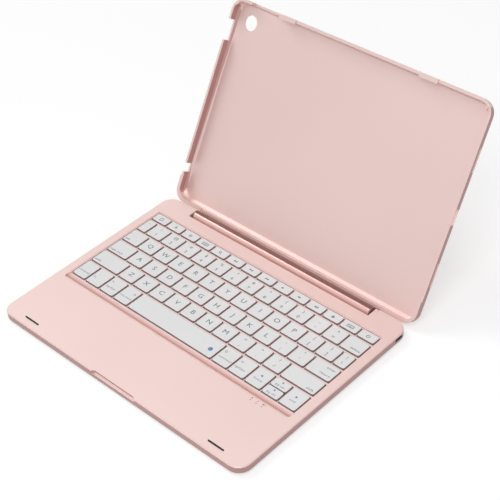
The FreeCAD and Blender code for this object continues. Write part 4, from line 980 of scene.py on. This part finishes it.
def word(text: str, across: float, along: float, side: str, blue: bool = False) -> Legend:
    """A small word near a key's edge.

    Args:
        text: The word.
        across: Shift to the right from the key's middle, in millimetres.
        along: Shift to the rear, in millimetres.
        side: Which end of the word the shift is measured to.
        blue: Whether it is in the second colour.

    Returns:
        The legend.
    """
    return Legend(text, 2.15, across, along, side, blue)


def pair(low: str, high: str) -> list[Legend]:
    """A character with its shifted one above it.

    Args:
        low: The plain character.
        high: The shifted one.

    Returns:
        Both legends.
    """
    return [Legend(high, 2.8, 0, 3.6), Legend(low, 3.0, 0, -3.2)]


def picture(sign: Sign, height: float = 3.6, across: float = 0.0, along: float = 0.0,
            blue: bool = False) -> Legend:
    """A sign's legend.

    Args:
        sign: Which sign.
        height: Its height in millimetres.
        across: Shift to the right.
        along: Shift to the rear.
        blue: Whether it is in the second colour.

    Returns:
        The legend.
    """
    return Legend("", height, across, along, blue=blue, sign=sign)


LEGENDS: dict[str, list[list[Legend]]] = {
    "function_keys": [[picture(sign, 3.5)] for sign in (
        Sign.SQUARE, Sign.DIM, Sign.BRIGHT, Sign.SCREEN, Sign.SEARCH, Sign.PREVIOUS, Sign.PLAY, Sign.NEXT,
        Sign.MUTE, Sign.QUIET, Sign.LOUD, Sign.LOCK, Sign.KEYBOARD)],
    "power_key": [[picture(Sign.POWER)]],
    "grave_key": [[Legend("~", 2.4, 0, 3.6), Legend("`", 2.4, 0, -3.0)]],
    "number_keys": [pair(low, high) for low, high in zip("1234567890-=", "!@#$%^&*()_+")],
    "backspace_key": [[word("delete", 7.6, -3.4, "RIGHT")]],
    "tab_key": [[word("tab", -6.9, -4.4, "LEFT")]],
    "upper_letter_keys": [[Legend(letter)] for letter in "QWERTYUIOP"] + [pair("[", "{"), pair("]", "}")],
    "backslash_key": [pair("\\", "|")],
    "caps_lock_key": [[word("caps lock", -9.4, -4.4, "LEFT")]],
    "home_letter_keys": [[Legend(letter)] for letter in "ASDFGHJKL"] + [pair(";", ":"), pair("'", "\"")],
    "enter_key": [[word("enter", 9.4, 3.6, "RIGHT"), word("return", 9.4, -3.2, "RIGHT")]],
    "left_shift_key": [[word("shift", -13.6, -4.4, "LEFT")]],
    "lower_letter_keys": [[Legend(letter)] for letter in "ZXCVBNM"] + [
        pair(",", "<"), pair(".", ">"), pair("/", "?")],
    "right_shift_key": [[word("shift", 13.6, -4.4, "RIGHT")]],
    "control_key": [[word("control", -5.6, -2.4, "LEFT")]],
    "left_modifier_keys": [
        [Legend("fn", 2.2, -5.4, -1.6, "LEFT", True)],
        [picture(Sign.STEP, 2.6, -4.6, 3.6), word("option", -5.8, -2.4, "LEFT")],
        [picture(Sign.DIAMOND, 2.6, 4.0, 3.8), Legend("command", 1.85, 6.2, -2.4, "RIGHT")]],
    "space_bar": [[picture(Sign.DOT, 4.0, 38.3, -1.7, True)]],
    "right_modifier_keys": [
        [picture(Sign.DIAMOND, 2.6, -4.4, 3.8), Legend("command", 1.85, -6.2, -2.4, "LEFT")],
        [picture(Sign.STEP, 2.6, -4.4, 3.6), word("option", -6.2, -2.4, "LEFT")]],
    "left_arrow_key": [[picture(Sign.LEFT, 2.6, 0.0, 2.2), word("home", 0.0, -2.2, "CENTER", True)]],
    "right_arrow_key": [[picture(Sign.RIGHT, 2.6, 0.0, 2.2), word("end", 0.0, -2.2, "CENTER", True)]],
    "up_arrow_key": [[picture(Sign.UP, 2.2, 0.0, 2.0), word("pg up", 0.0, -1.4, "CENTER", True)]],
    "down_arrow_key": [[picture(Sign.DOWN, 2.2, 0.0, 2.0), word("pg dn", 0.0, -1.6, "CENTER", True)]],
}


@dataclass
class Keyboard:
    """All the keycaps with their printing.

    Attributes:
        palette: The finishes.
        gap: Between the feet of two keys of a row, in metres.
        lean: How far a key's sides draw in.
        edge: Rounding of a key's top edge.
        corner: Corner radius of a key.
        lift: Height of the print above a keycap.
        tree: Tree that makes a row of caps.
    """

    palette: Palette
    gap: float = 1.338 * MM
    lean: float = 0.22 * MM
    edge: float = 0.35 * MM
    corner: float = 1.9 * MM
    lift: float = 0.012 * MM
    tree: KeycapTree = field(default_factory=KeycapTree)

    def build(self) -> int:
        """Build every row of keys.

        Returns:
            Number of keys made.
        """
        finishes = {"Top finish": self.palette.key_top, "Side finish": self.palette.key_side}
        total = 0
        for name, legends in LEGENDS.items():
            low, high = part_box(name)
            count = len(legends)
            width = (high.x - low.x - (count - 1) * self.gap) / count
            first = low.x + width / 2
            pitch = width + self.gap
            middle = (low.y + high.y) / 2
            caps = self.tree.piece(name + "_caps", [], {
                "Width": width, "Depth": high.y - low.y, "Height": high.z - low.z, "Corner": self.corner,
                "Lean": self.lean, "Edge": self.edge, "Pitch": pitch, "Left": first, "Middle": middle,
                "Foot": low.z, "Count": count, **finishes})
            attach(caps, name)
            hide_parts(name)
            self.print_row(name, legends, first, pitch, middle, high.z)
            total += count
        LOG.info("keyboard: %d keys", total)
        return total

    def print_row(self, name: str, legends: list[list[Legend]], first: float, pitch: float, middle: float,
                  level: float) -> None:
        """Print the legends of one row.

        Args:
            name: The row's node.
            legends: Legends of each key.
            first: Middle of the first key.
            pitch: From one key to the next.
            middle: Middle of the row, front to rear.
            level: Height of the key tops.
        """
        grey = Ink(level + self.lift)
        blue = Ink(level + self.lift)
        for step, marks in enumerate(legends):
            for mark in marks:
                ink = blue if mark.blue else grey
                spot = (first + step * pitch, middle)
                if mark.sign:
                    ink.sign(mark, spot)
                else:
                    ink.text(mark, spot)
        for ink, label, material in ((grey, "_print", self.palette.ink),
                                     (blue, "_blue_print", self.palette.blue_ink)):
            piece = ink.finish(name + label, material)
            if piece is not None:
                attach(piece, name)


@dataclass
class DeckDetails:
    """Fine parts of the deck: status signs, the recess's slope with painted shade, a pale lip as a painted
    highlight, a dark strip of painted shade, and the thumb scoop's lining.

    Attributes:
        palette: The finishes.
        sign_gap: Status light to the sign behind it, in metres.
        sign_height: Height of a sign in millimetres.
        pipe_rim: Front edge of the light pipe to the middle of its pins.
        pitch: From one status light to the next.
        scoop_half: Half the length of the thumb scoop.
        scoop_depth: Thumb scoop, front to rear.
        scoop_drop: Thumb scoop below the deck's face.
        skin: Thickness of the deck's plate.
        lift: Height of the print above the deck.
        side_rim: Deck's side to the recess.
        rear_rim: Deck's rear edge to the recess.
        front_rim: Keys to the recess's front edge.
        slope: Breadth of the recess's front slope.
        slope_depth: Depth of that slope.
        flats: Number of flats that the slope is made of.
        bend: Corner radius of the recess.
        shade_breadth: Breadth of the dark strip of painted shade.
        lip: Breadth of the pale lip, a painted highlight.
        rounding: Breadth of the rounding on the recess's edges.
        sink: How far the corners lie below the deck's face.
        overlap: How far the lining passes into the deck's plate.
        scoop_wall: Deck's front face to the lining.
        scoop_margin: How far the lining reaches past the scoop's straight floor.
        play: Small play that keeps two faces from lying in one plane.
        slope_inset: Recess's side to the end of the slope strip.
        corner_inset: Recess's side to the filling of a corner.
        corner_bits: Number of flats in the rounding of a corner.
        lip_drop: Deck's face to the top of the pale lip, with the play below it.
        shade_height: Height of the dark strip of painted shade.
    """

    palette: Palette
    sign_gap: float = 2.2 * MM
    sign_height: float = 1.7
    pipe_rim: float = 1.2 * MM
    pitch: float = 5.5 * MM
    scoop_half: float = 24.5 * MM
    scoop_depth: float = 2.0 * MM
    scoop_drop: float = 2.4 * MM
    skin: float = 1.6 * MM
    lift: float = 0.012 * MM
    side_rim: float = 7.4 * MM
    rear_rim: float = 21.0 * MM
    front_rim: float = 8.2 * MM
    slope: float = 6.0 * MM
    slope_depth: float = 1.3 * MM
    flats: int = 4
    bend: float = 4.2 * MM
    shade_breadth: float = 0.5 * MM
    lip: float = 0.9 * MM
    rounding: float = 0.5 * MM
    sink: float = 0.005 * MM
    overlap: float = 0.2 * MM
    scoop_wall: float = 1.3 * MM
    scoop_margin: float = 2.0 * MM
    play: float = 0.05 * MM
    slope_inset: float = 0.55 * MM
    corner_inset: float = 0.4 * MM
    corner_bits: int = 8
    lip_drop: float = 0.3 * MM
    shade_height: float = 0.35 * MM

    def piece(self, name: str, maker: bmesh.types.BMesh, material: bpy.types.Material) -> None:
        """Turn finished mesh work into a piece of the base.

        Args:
            name: Name of the piece.
            maker: Its mesh work, freed here.
            material: Its finish.
        """
        bmesh.ops.recalc_face_normals(maker, faces=maker.faces)
        mesh = bpy.data.meshes.new(name)
        maker.to_mesh(mesh)
        maker.free()
        made = link_object(name, mesh)
        dress(made, material)
        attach(made, "base")

    def prism(self, maker: bmesh.types.BMesh, outline: list[Vector], shift: Vector) -> None:
        """Add a closed prism.

        Args:
            maker: Mesh work that gets it.
            outline: Corners of one end.
            shift: From that end to the other.
        """
        first = [maker.verts.new(corner) for corner in outline]
        second = [maker.verts.new(corner + shift) for corner in outline]
        maker.faces.new(first)
        maker.faces.new(list(reversed(second)))
        for step in range(len(outline)):
            after = (step + 1) % len(outline)
            maker.faces.new([first[after], first[step], second[step], second[after]])

    def slope_strip(self) -> None:
        """Lay the slope with its painted shade over the recess's front, with its rounded corners."""
        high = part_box("deck_cover")[1]
        side = high.x - self.side_rim
        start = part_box("space_bar")[0].y - self.front_rim
        end = start + self.slope
        foot = high.z - self.slope_depth
        section = [(start, foot - 2 * self.play)]
        for step in range(self.flats + 1):
            turn = math.radians(90 * step / self.flats)
            level = high.z - self.slope_depth * math.sin(turn) + self.play
            section.append((start + self.slope * (1 - math.cos(turn)), min(level, high.z - 2 * self.sink)))
        section.append((end, foot - 2 * self.play))
        maker = bmesh.new()
        outline = [Vector((self.slope_inset - side, y, z)) for y, z in section]
        self.prism(maker, outline, Vector((2 * (side - self.slope_inset), 0, 0)))
        self.piece("recess_slope", maker, PaintedShadeSlope("painted_shade_rose_slope", start, self.slope).material())
        self.recess_corners(side, start, high.z - self.sink)

    def recess_corners(self, side: float, start: float, level: float) -> None:
        """Fill the two front corners of the recess outside their rounding.

        Args:
            side: The recess's side.
            start: The recess's front edge.
            level: Level of the fillings' upper face.
        """
        bits = self.corner_bits
        corners = bmesh.new()
        for hand in (-1, 1):
            edge = hand * (side - self.corner_inset)
            outline = [Vector((edge, start - self.play, level))]
            for step in range(bits, -1, -1):
                turn = math.radians(90 * step / bits)
                outline.append(Vector((edge - hand * self.bend * (1 - math.sin(turn)),
                                       start + self.bend * (1 - math.cos(turn)), level)))
            self.prism(corners, outline, Vector((0, 0, -self.slope_depth)))
        self.piece("recess_corners", corners, self.palette.shell)

    def slab(self, maker: bmesh.types.BMesh, near: Point, far: Point, level: float, height: float) -> None:
        """Add a level slab.

        Args:
            maker: Mesh work that gets it.
            near: Its left front corner.
            far: Its right rear corner.
            level: Level of its underside.
            height: Its height.
        """
        outline = ((near[0], near[1]), (far[0], near[1]), (far[0], far[1]), (near[0], far[1]))
        self.prism(maker, [Vector((x, y, level)) for x, y in outline], Vector((0, 0, height)))

    def rim(self) -> None:
        """Lay the pale lip along the recess's left and rear sides as a painted highlight, and a dark strip of
        painted shade along its right side.
        """
        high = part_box("deck_cover")[1]
        side = high.x - self.side_rim - self.rounding
        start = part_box("space_bar")[0].y - self.front_rim + self.bend
        end = high.y - self.rear_rim - self.rounding
        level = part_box("key_frame")[1].z
        foot = level - 2 * self.play
        height = high.z - level - self.lip_drop
        # Painted highlight: a pale strip in the web's colour covers the gap along the left and rear rims.
        lip = bmesh.new()
        self.slab(lip, (-side, start), (self.lip - side, end), foot, height)
        self.slab(lip, (-side, end - self.lip), (side, end), foot, height)
        self.piece("recess_painted_highlight_lip", lip, self.palette.web)
        # Painted shade: a thin dark strip along the recess's right side.
        shade_mesh = bmesh.new()
        self.slab(shade_mesh, (side - self.shade_breadth, start), (side, end), level, self.shade_height)
        self.piece("recess_painted_shade_line", shade_mesh, self.palette.shade_line)

    def signs(self) -> None:
        """Print a sign behind each status light."""
        low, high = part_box("status_light_pipe")
        ink = Ink(high.z + self.lift)
        middle = (low.x + high.x) / 2
        for step, sign in enumerate((Sign.LOCK, Sign.DOT, Sign.CELL)):
            size = self.sign_height * (0.5 if sign is Sign.DOT else 1.0)
            spot = (middle + (step - 1) * self.pitch, low.y + self.pipe_rim + self.sign_gap)
            ink.sign(picture(sign, size), spot)
        signs = ink.finish("status_signs", self.palette.ink)
        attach(signs, "base")

    def lining(self) -> None:
        """Close the thumb scoop's inner side with a sloping strip."""
        low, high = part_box("deck_cover")
        reach = self.scoop_half - 2 * self.scoop_depth + self.scoop_margin
        front = low.y + self.scoop_wall
        rear = low.y + self.scoop_depth + self.overlap
        floor = high.z - self.scoop_drop
        below = floor - 2 * self.overlap
        under = high.z - self.skin + self.play
        section = ((front, below), (rear, below), (rear, under), (rear - self.overlap, under), (front, floor))
        maker = bmesh.new()
        self.prism(maker, [Vector((-reach, y, z)) for y, z in section], Vector((2 * reach, 0, 0)))
        self.piece("thumb_scoop_lining", maker, self.palette.shell)

    def build(self) -> int:
        """Build the details.

        Returns:
            Number of pieces made.
        """
        self.signs()
        self.slope_strip()
        self.rim()
        self.lining()
        LOG.info("deck details: signs, slope, corners, lip, gasket and scoop lining")
        return 6


@dataclass
class CarriedParts:
    """CAD parts that keep their shape and get their finish, with painted shade on the shells' outer side
    walls.

    Attributes:
        palette: The finishes.
        side_depth: How far in from a shell's side its side faces reach.
        upright: A side face leans less than this from upright, as the height part of its normal.
        outward: Least part of a side face's normal that points out of the shell.
    """

    palette: Palette
    side_depth: float = 3.4 * MM
    upright: float = 0.6
    outward: float = 0.3

    def build(self) -> int:
        """Dress every carried part.

        Returns:
            Number of parts dressed.
        """
        palette = self.palette
        finishes = {
            "deck_cover": palette.shell, "tray_shell": palette.shell, "barrel_cover": palette.barrel,
            "hinge_neck": palette.neck, "bottom_cover": palette.bottom, "key_frame": palette.web,
            "key_support_plate": palette.steel, "switch_membrane": palette.film, "rubber_domes": palette.dome,
            "rubber_feet": palette.foot_rubber, "front_bumpers": palette.black_rubber,
            "left_hinge_bracket": palette.steel, "right_hinge_bracket": palette.steel,
            "left_hinge_pin": palette.steel, "right_hinge_pin": palette.steel,
            "charging_socket": palette.steel, "battery_cells": palette.pouch,
            "control_board": palette.mask, "charging_board": palette.mask,
            "status_light_pipe": palette.pipe}
        for name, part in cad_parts.items():
            if name in finishes:
                dress(part, finishes[name])
            elif name.endswith("_screws"):
                dress(part, palette.screw)
        for name in ("deck_cover", "tray_shell"):
            self.paint_side_shade(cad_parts[name])
        LOG.info("carried parts: %d", len(finishes))
        return len(finishes)

    def paint_side_shade(self, part: bpy.types.Object) -> None:
        """Give a shell's outer side faces the darker side material: painted shade on the side walls.

        Args:
            part: The shell's object.
        """
        mesh = part.data
        mesh.materials.append(self.palette.side)
        last = len(mesh.materials) - 1
        low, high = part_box(part.name)
        for face in mesh.polygons:
            edge = min(face.center.x - low.x, high.x - face.center.x) < self.side_depth
            outer = edge and abs(face.normal.x) > self.outward
            near = face.center.y - low.y < self.side_depth and part.name == "deck_cover"
            front = near and face.normal.y < -self.outward
            if abs(face.normal.z) < self.upright and (outer or front):
                face.material_index = last


@dataclass
class Studio:
    """White table, soft light and the camera.

    Attributes:
        eye: Place of the camera, in metres.
        aim: Point that it looks at.
        roll: Turn about the line of sight, in degrees.
        lens: Focal length in millimetres on a 36 mm sensor.
        low_fill: Strength of the room's light from the horizon.
        high_fill: Strength of the room's light from straight above.
        glow: How much the table is brightened where it is seen.
        table: Colour of the table.
        reach: Half the side of the table, in metres.
    """

    eye: Vector = field(default_factory=lambda: Vector((0.5589, -0.5447, 0.6933)))
    aim: Vector = field(default_factory=lambda: Vector((-0.0259, 0.0329, 0.0080)))
    roll: float = -3.887
    lens: float = 95.5
    low_fill: float = 0.08
    high_fill: float = 0.62
    glow: float = 0.56
    table: str = "#C4C4C4"
    reach: float = 6.0

    def seen(self, tree: bpy.types.NodeTree) -> Socket:
        """Tell the rays that show a surface from those that light one.

        Args:
            tree: Tree that asks.

        Returns:
            A socket that is 1 for camera, transmission and glossy rays.
        """
        path = node(tree, "ShaderNodeLightPath").outputs
        direct = node(tree, "ShaderNodeMath", {"operation": "MAXIMUM"}, {
            0: path["Is Camera Ray"], 1: path["Is Transmission Ray"]}).outputs[0]
        return node(tree, "ShaderNodeMath", {"operation": "MAXIMUM"}, {
            0: direct, 1: path["Is Glossy Ray"]}).outputs[0]

    def camera(self) -> None:
        """Place the camera."""
        data = bpy.data.cameras.new("camera")
        data.lens = self.lens
        data.sensor_width = 36.0
        data.clip_start = 0.01
        data.clip_end = 20.0
        camera = bpy.data.objects.new("camera", data)
        bpy.context.scene.collection.objects.link(camera)
        level = (self.aim - self.eye).to_track_quat("-Z", "Y").to_matrix().to_4x4()
        roll = Matrix.Rotation(math.radians(self.roll), 4, "Z")
        camera.matrix_world = Matrix.Translation(self.eye) @ level @ roll
        bpy.context.scene.camera = camera

    def lamp(self, name: str, place: Point, height: float, size: float, watts: float) -> None:
        """Hang one soft box that faces the object.

        Args:
            name: Name of the lamp.
            place: Where it hangs, seen from above.
            height: How high it hangs.
            size: Side of the soft box.
            watts: Its power.
        """
        data = bpy.data.lights.new(name, "AREA")
        data.shape = "SQUARE"
        data.size = size
        data.energy = watts
        lamp = bpy.data.objects.new(name, data)
        bpy.context.scene.collection.objects.link(lamp)
        spot = Vector((place[0], place[1], height))
        lamp.matrix_world = Matrix.Translation(spot) @ (-spot).to_track_quat("-Z", "Y").to_matrix().to_4x4()

    def world(self) -> None:
        """Light the room evenly and show it white."""
        world = bpy.data.worlds.new("room")
        world.use_nodes = True
        bpy.context.scene.world = world
        tree = world.node_tree
        tree.nodes.clear()
        way = node(tree, "ShaderNodeTexCoord").outputs["Generated"]
        height = node(tree, "ShaderNodeSeparateXYZ", {}, {0: way}).outputs["Z"]
        strength = node(tree, "ShaderNodeMapRange", {}, {
            "Value": height, "To Min": self.low_fill, "To Max": self.high_fill})
        fill = node(tree, "ShaderNodeBackground", {}, {
            "Color": WHITE, "Strength": strength.outputs[0]})
        white = node(tree, "ShaderNodeBackground", {}, {"Color": WHITE, "Strength": 1.0})
        mixed = node(tree, "ShaderNodeMixShader", {}, {
            0: self.seen(tree), 1: fill.outputs[0], 2: white.outputs[0]})
        node(tree, "ShaderNodeOutputWorld", {}, {"Surface": mixed.outputs[0]})

    def floor(self) -> None:
        """Lay the white table."""
        maker = bmesh.new()
        bmesh.ops.create_grid(maker, x_segments=1, y_segments=1, size=self.reach)
        mesh = bpy.data.meshes.new("table_top")
        maker.to_mesh(mesh)
        maker.free()
        mesh.transform(Matrix.Translation((0, 0, -0.05 * MM)))
        table = link_object("table_top", mesh)
        made = bpy.data.materials.new("white_table_laminate")
        made.use_nodes = True
        tree = made.node_tree
        tree.nodes.clear()
        paint = node(tree, "ShaderNodeBsdfDiffuse", {}, {"Color": linear(self.table)})
        lift = node(tree, "ShaderNodeMath", {"operation": "MULTIPLY"}, {0: self.seen(tree), 1: self.glow})
        glow = node(tree, "ShaderNodeEmission", {}, {"Color": WHITE, "Strength": lift.outputs[0]})
        both = node(tree, "ShaderNodeAddShader", {}, {0: paint.outputs[0], 1: glow.outputs[0]})
        node(tree, "ShaderNodeOutputMaterial", {}, {"Surface": both.outputs[0]})
        dress(table, made)

    def build(self) -> None:
        """Set up the whole studio."""
        bpy.context.scene.view_settings.view_transform = "Standard"
        self.camera()
        self.world()
        self.floor()
        self.lamp("key_softbox", (-2.2, -0.2), 2.4, 1.2, 24.0)
        self.lamp("palm_softbox", (0.35, -0.6), 0.95, 0.5, 4.2)
        LOG.info("studio: camera, room, table and lamps")


def main() -> None:
    """Build the case's looks and report each sub-assembly."""
    logging.basicConfig(level=logging.INFO)
    palette = Palette()
    Studio().build()
    CarriedParts(palette).build()
    Keyboard(palette).build()
    DeckDetails(palette).build()
    Underside(palette).build()


if __name__ == "__main__":
    main()
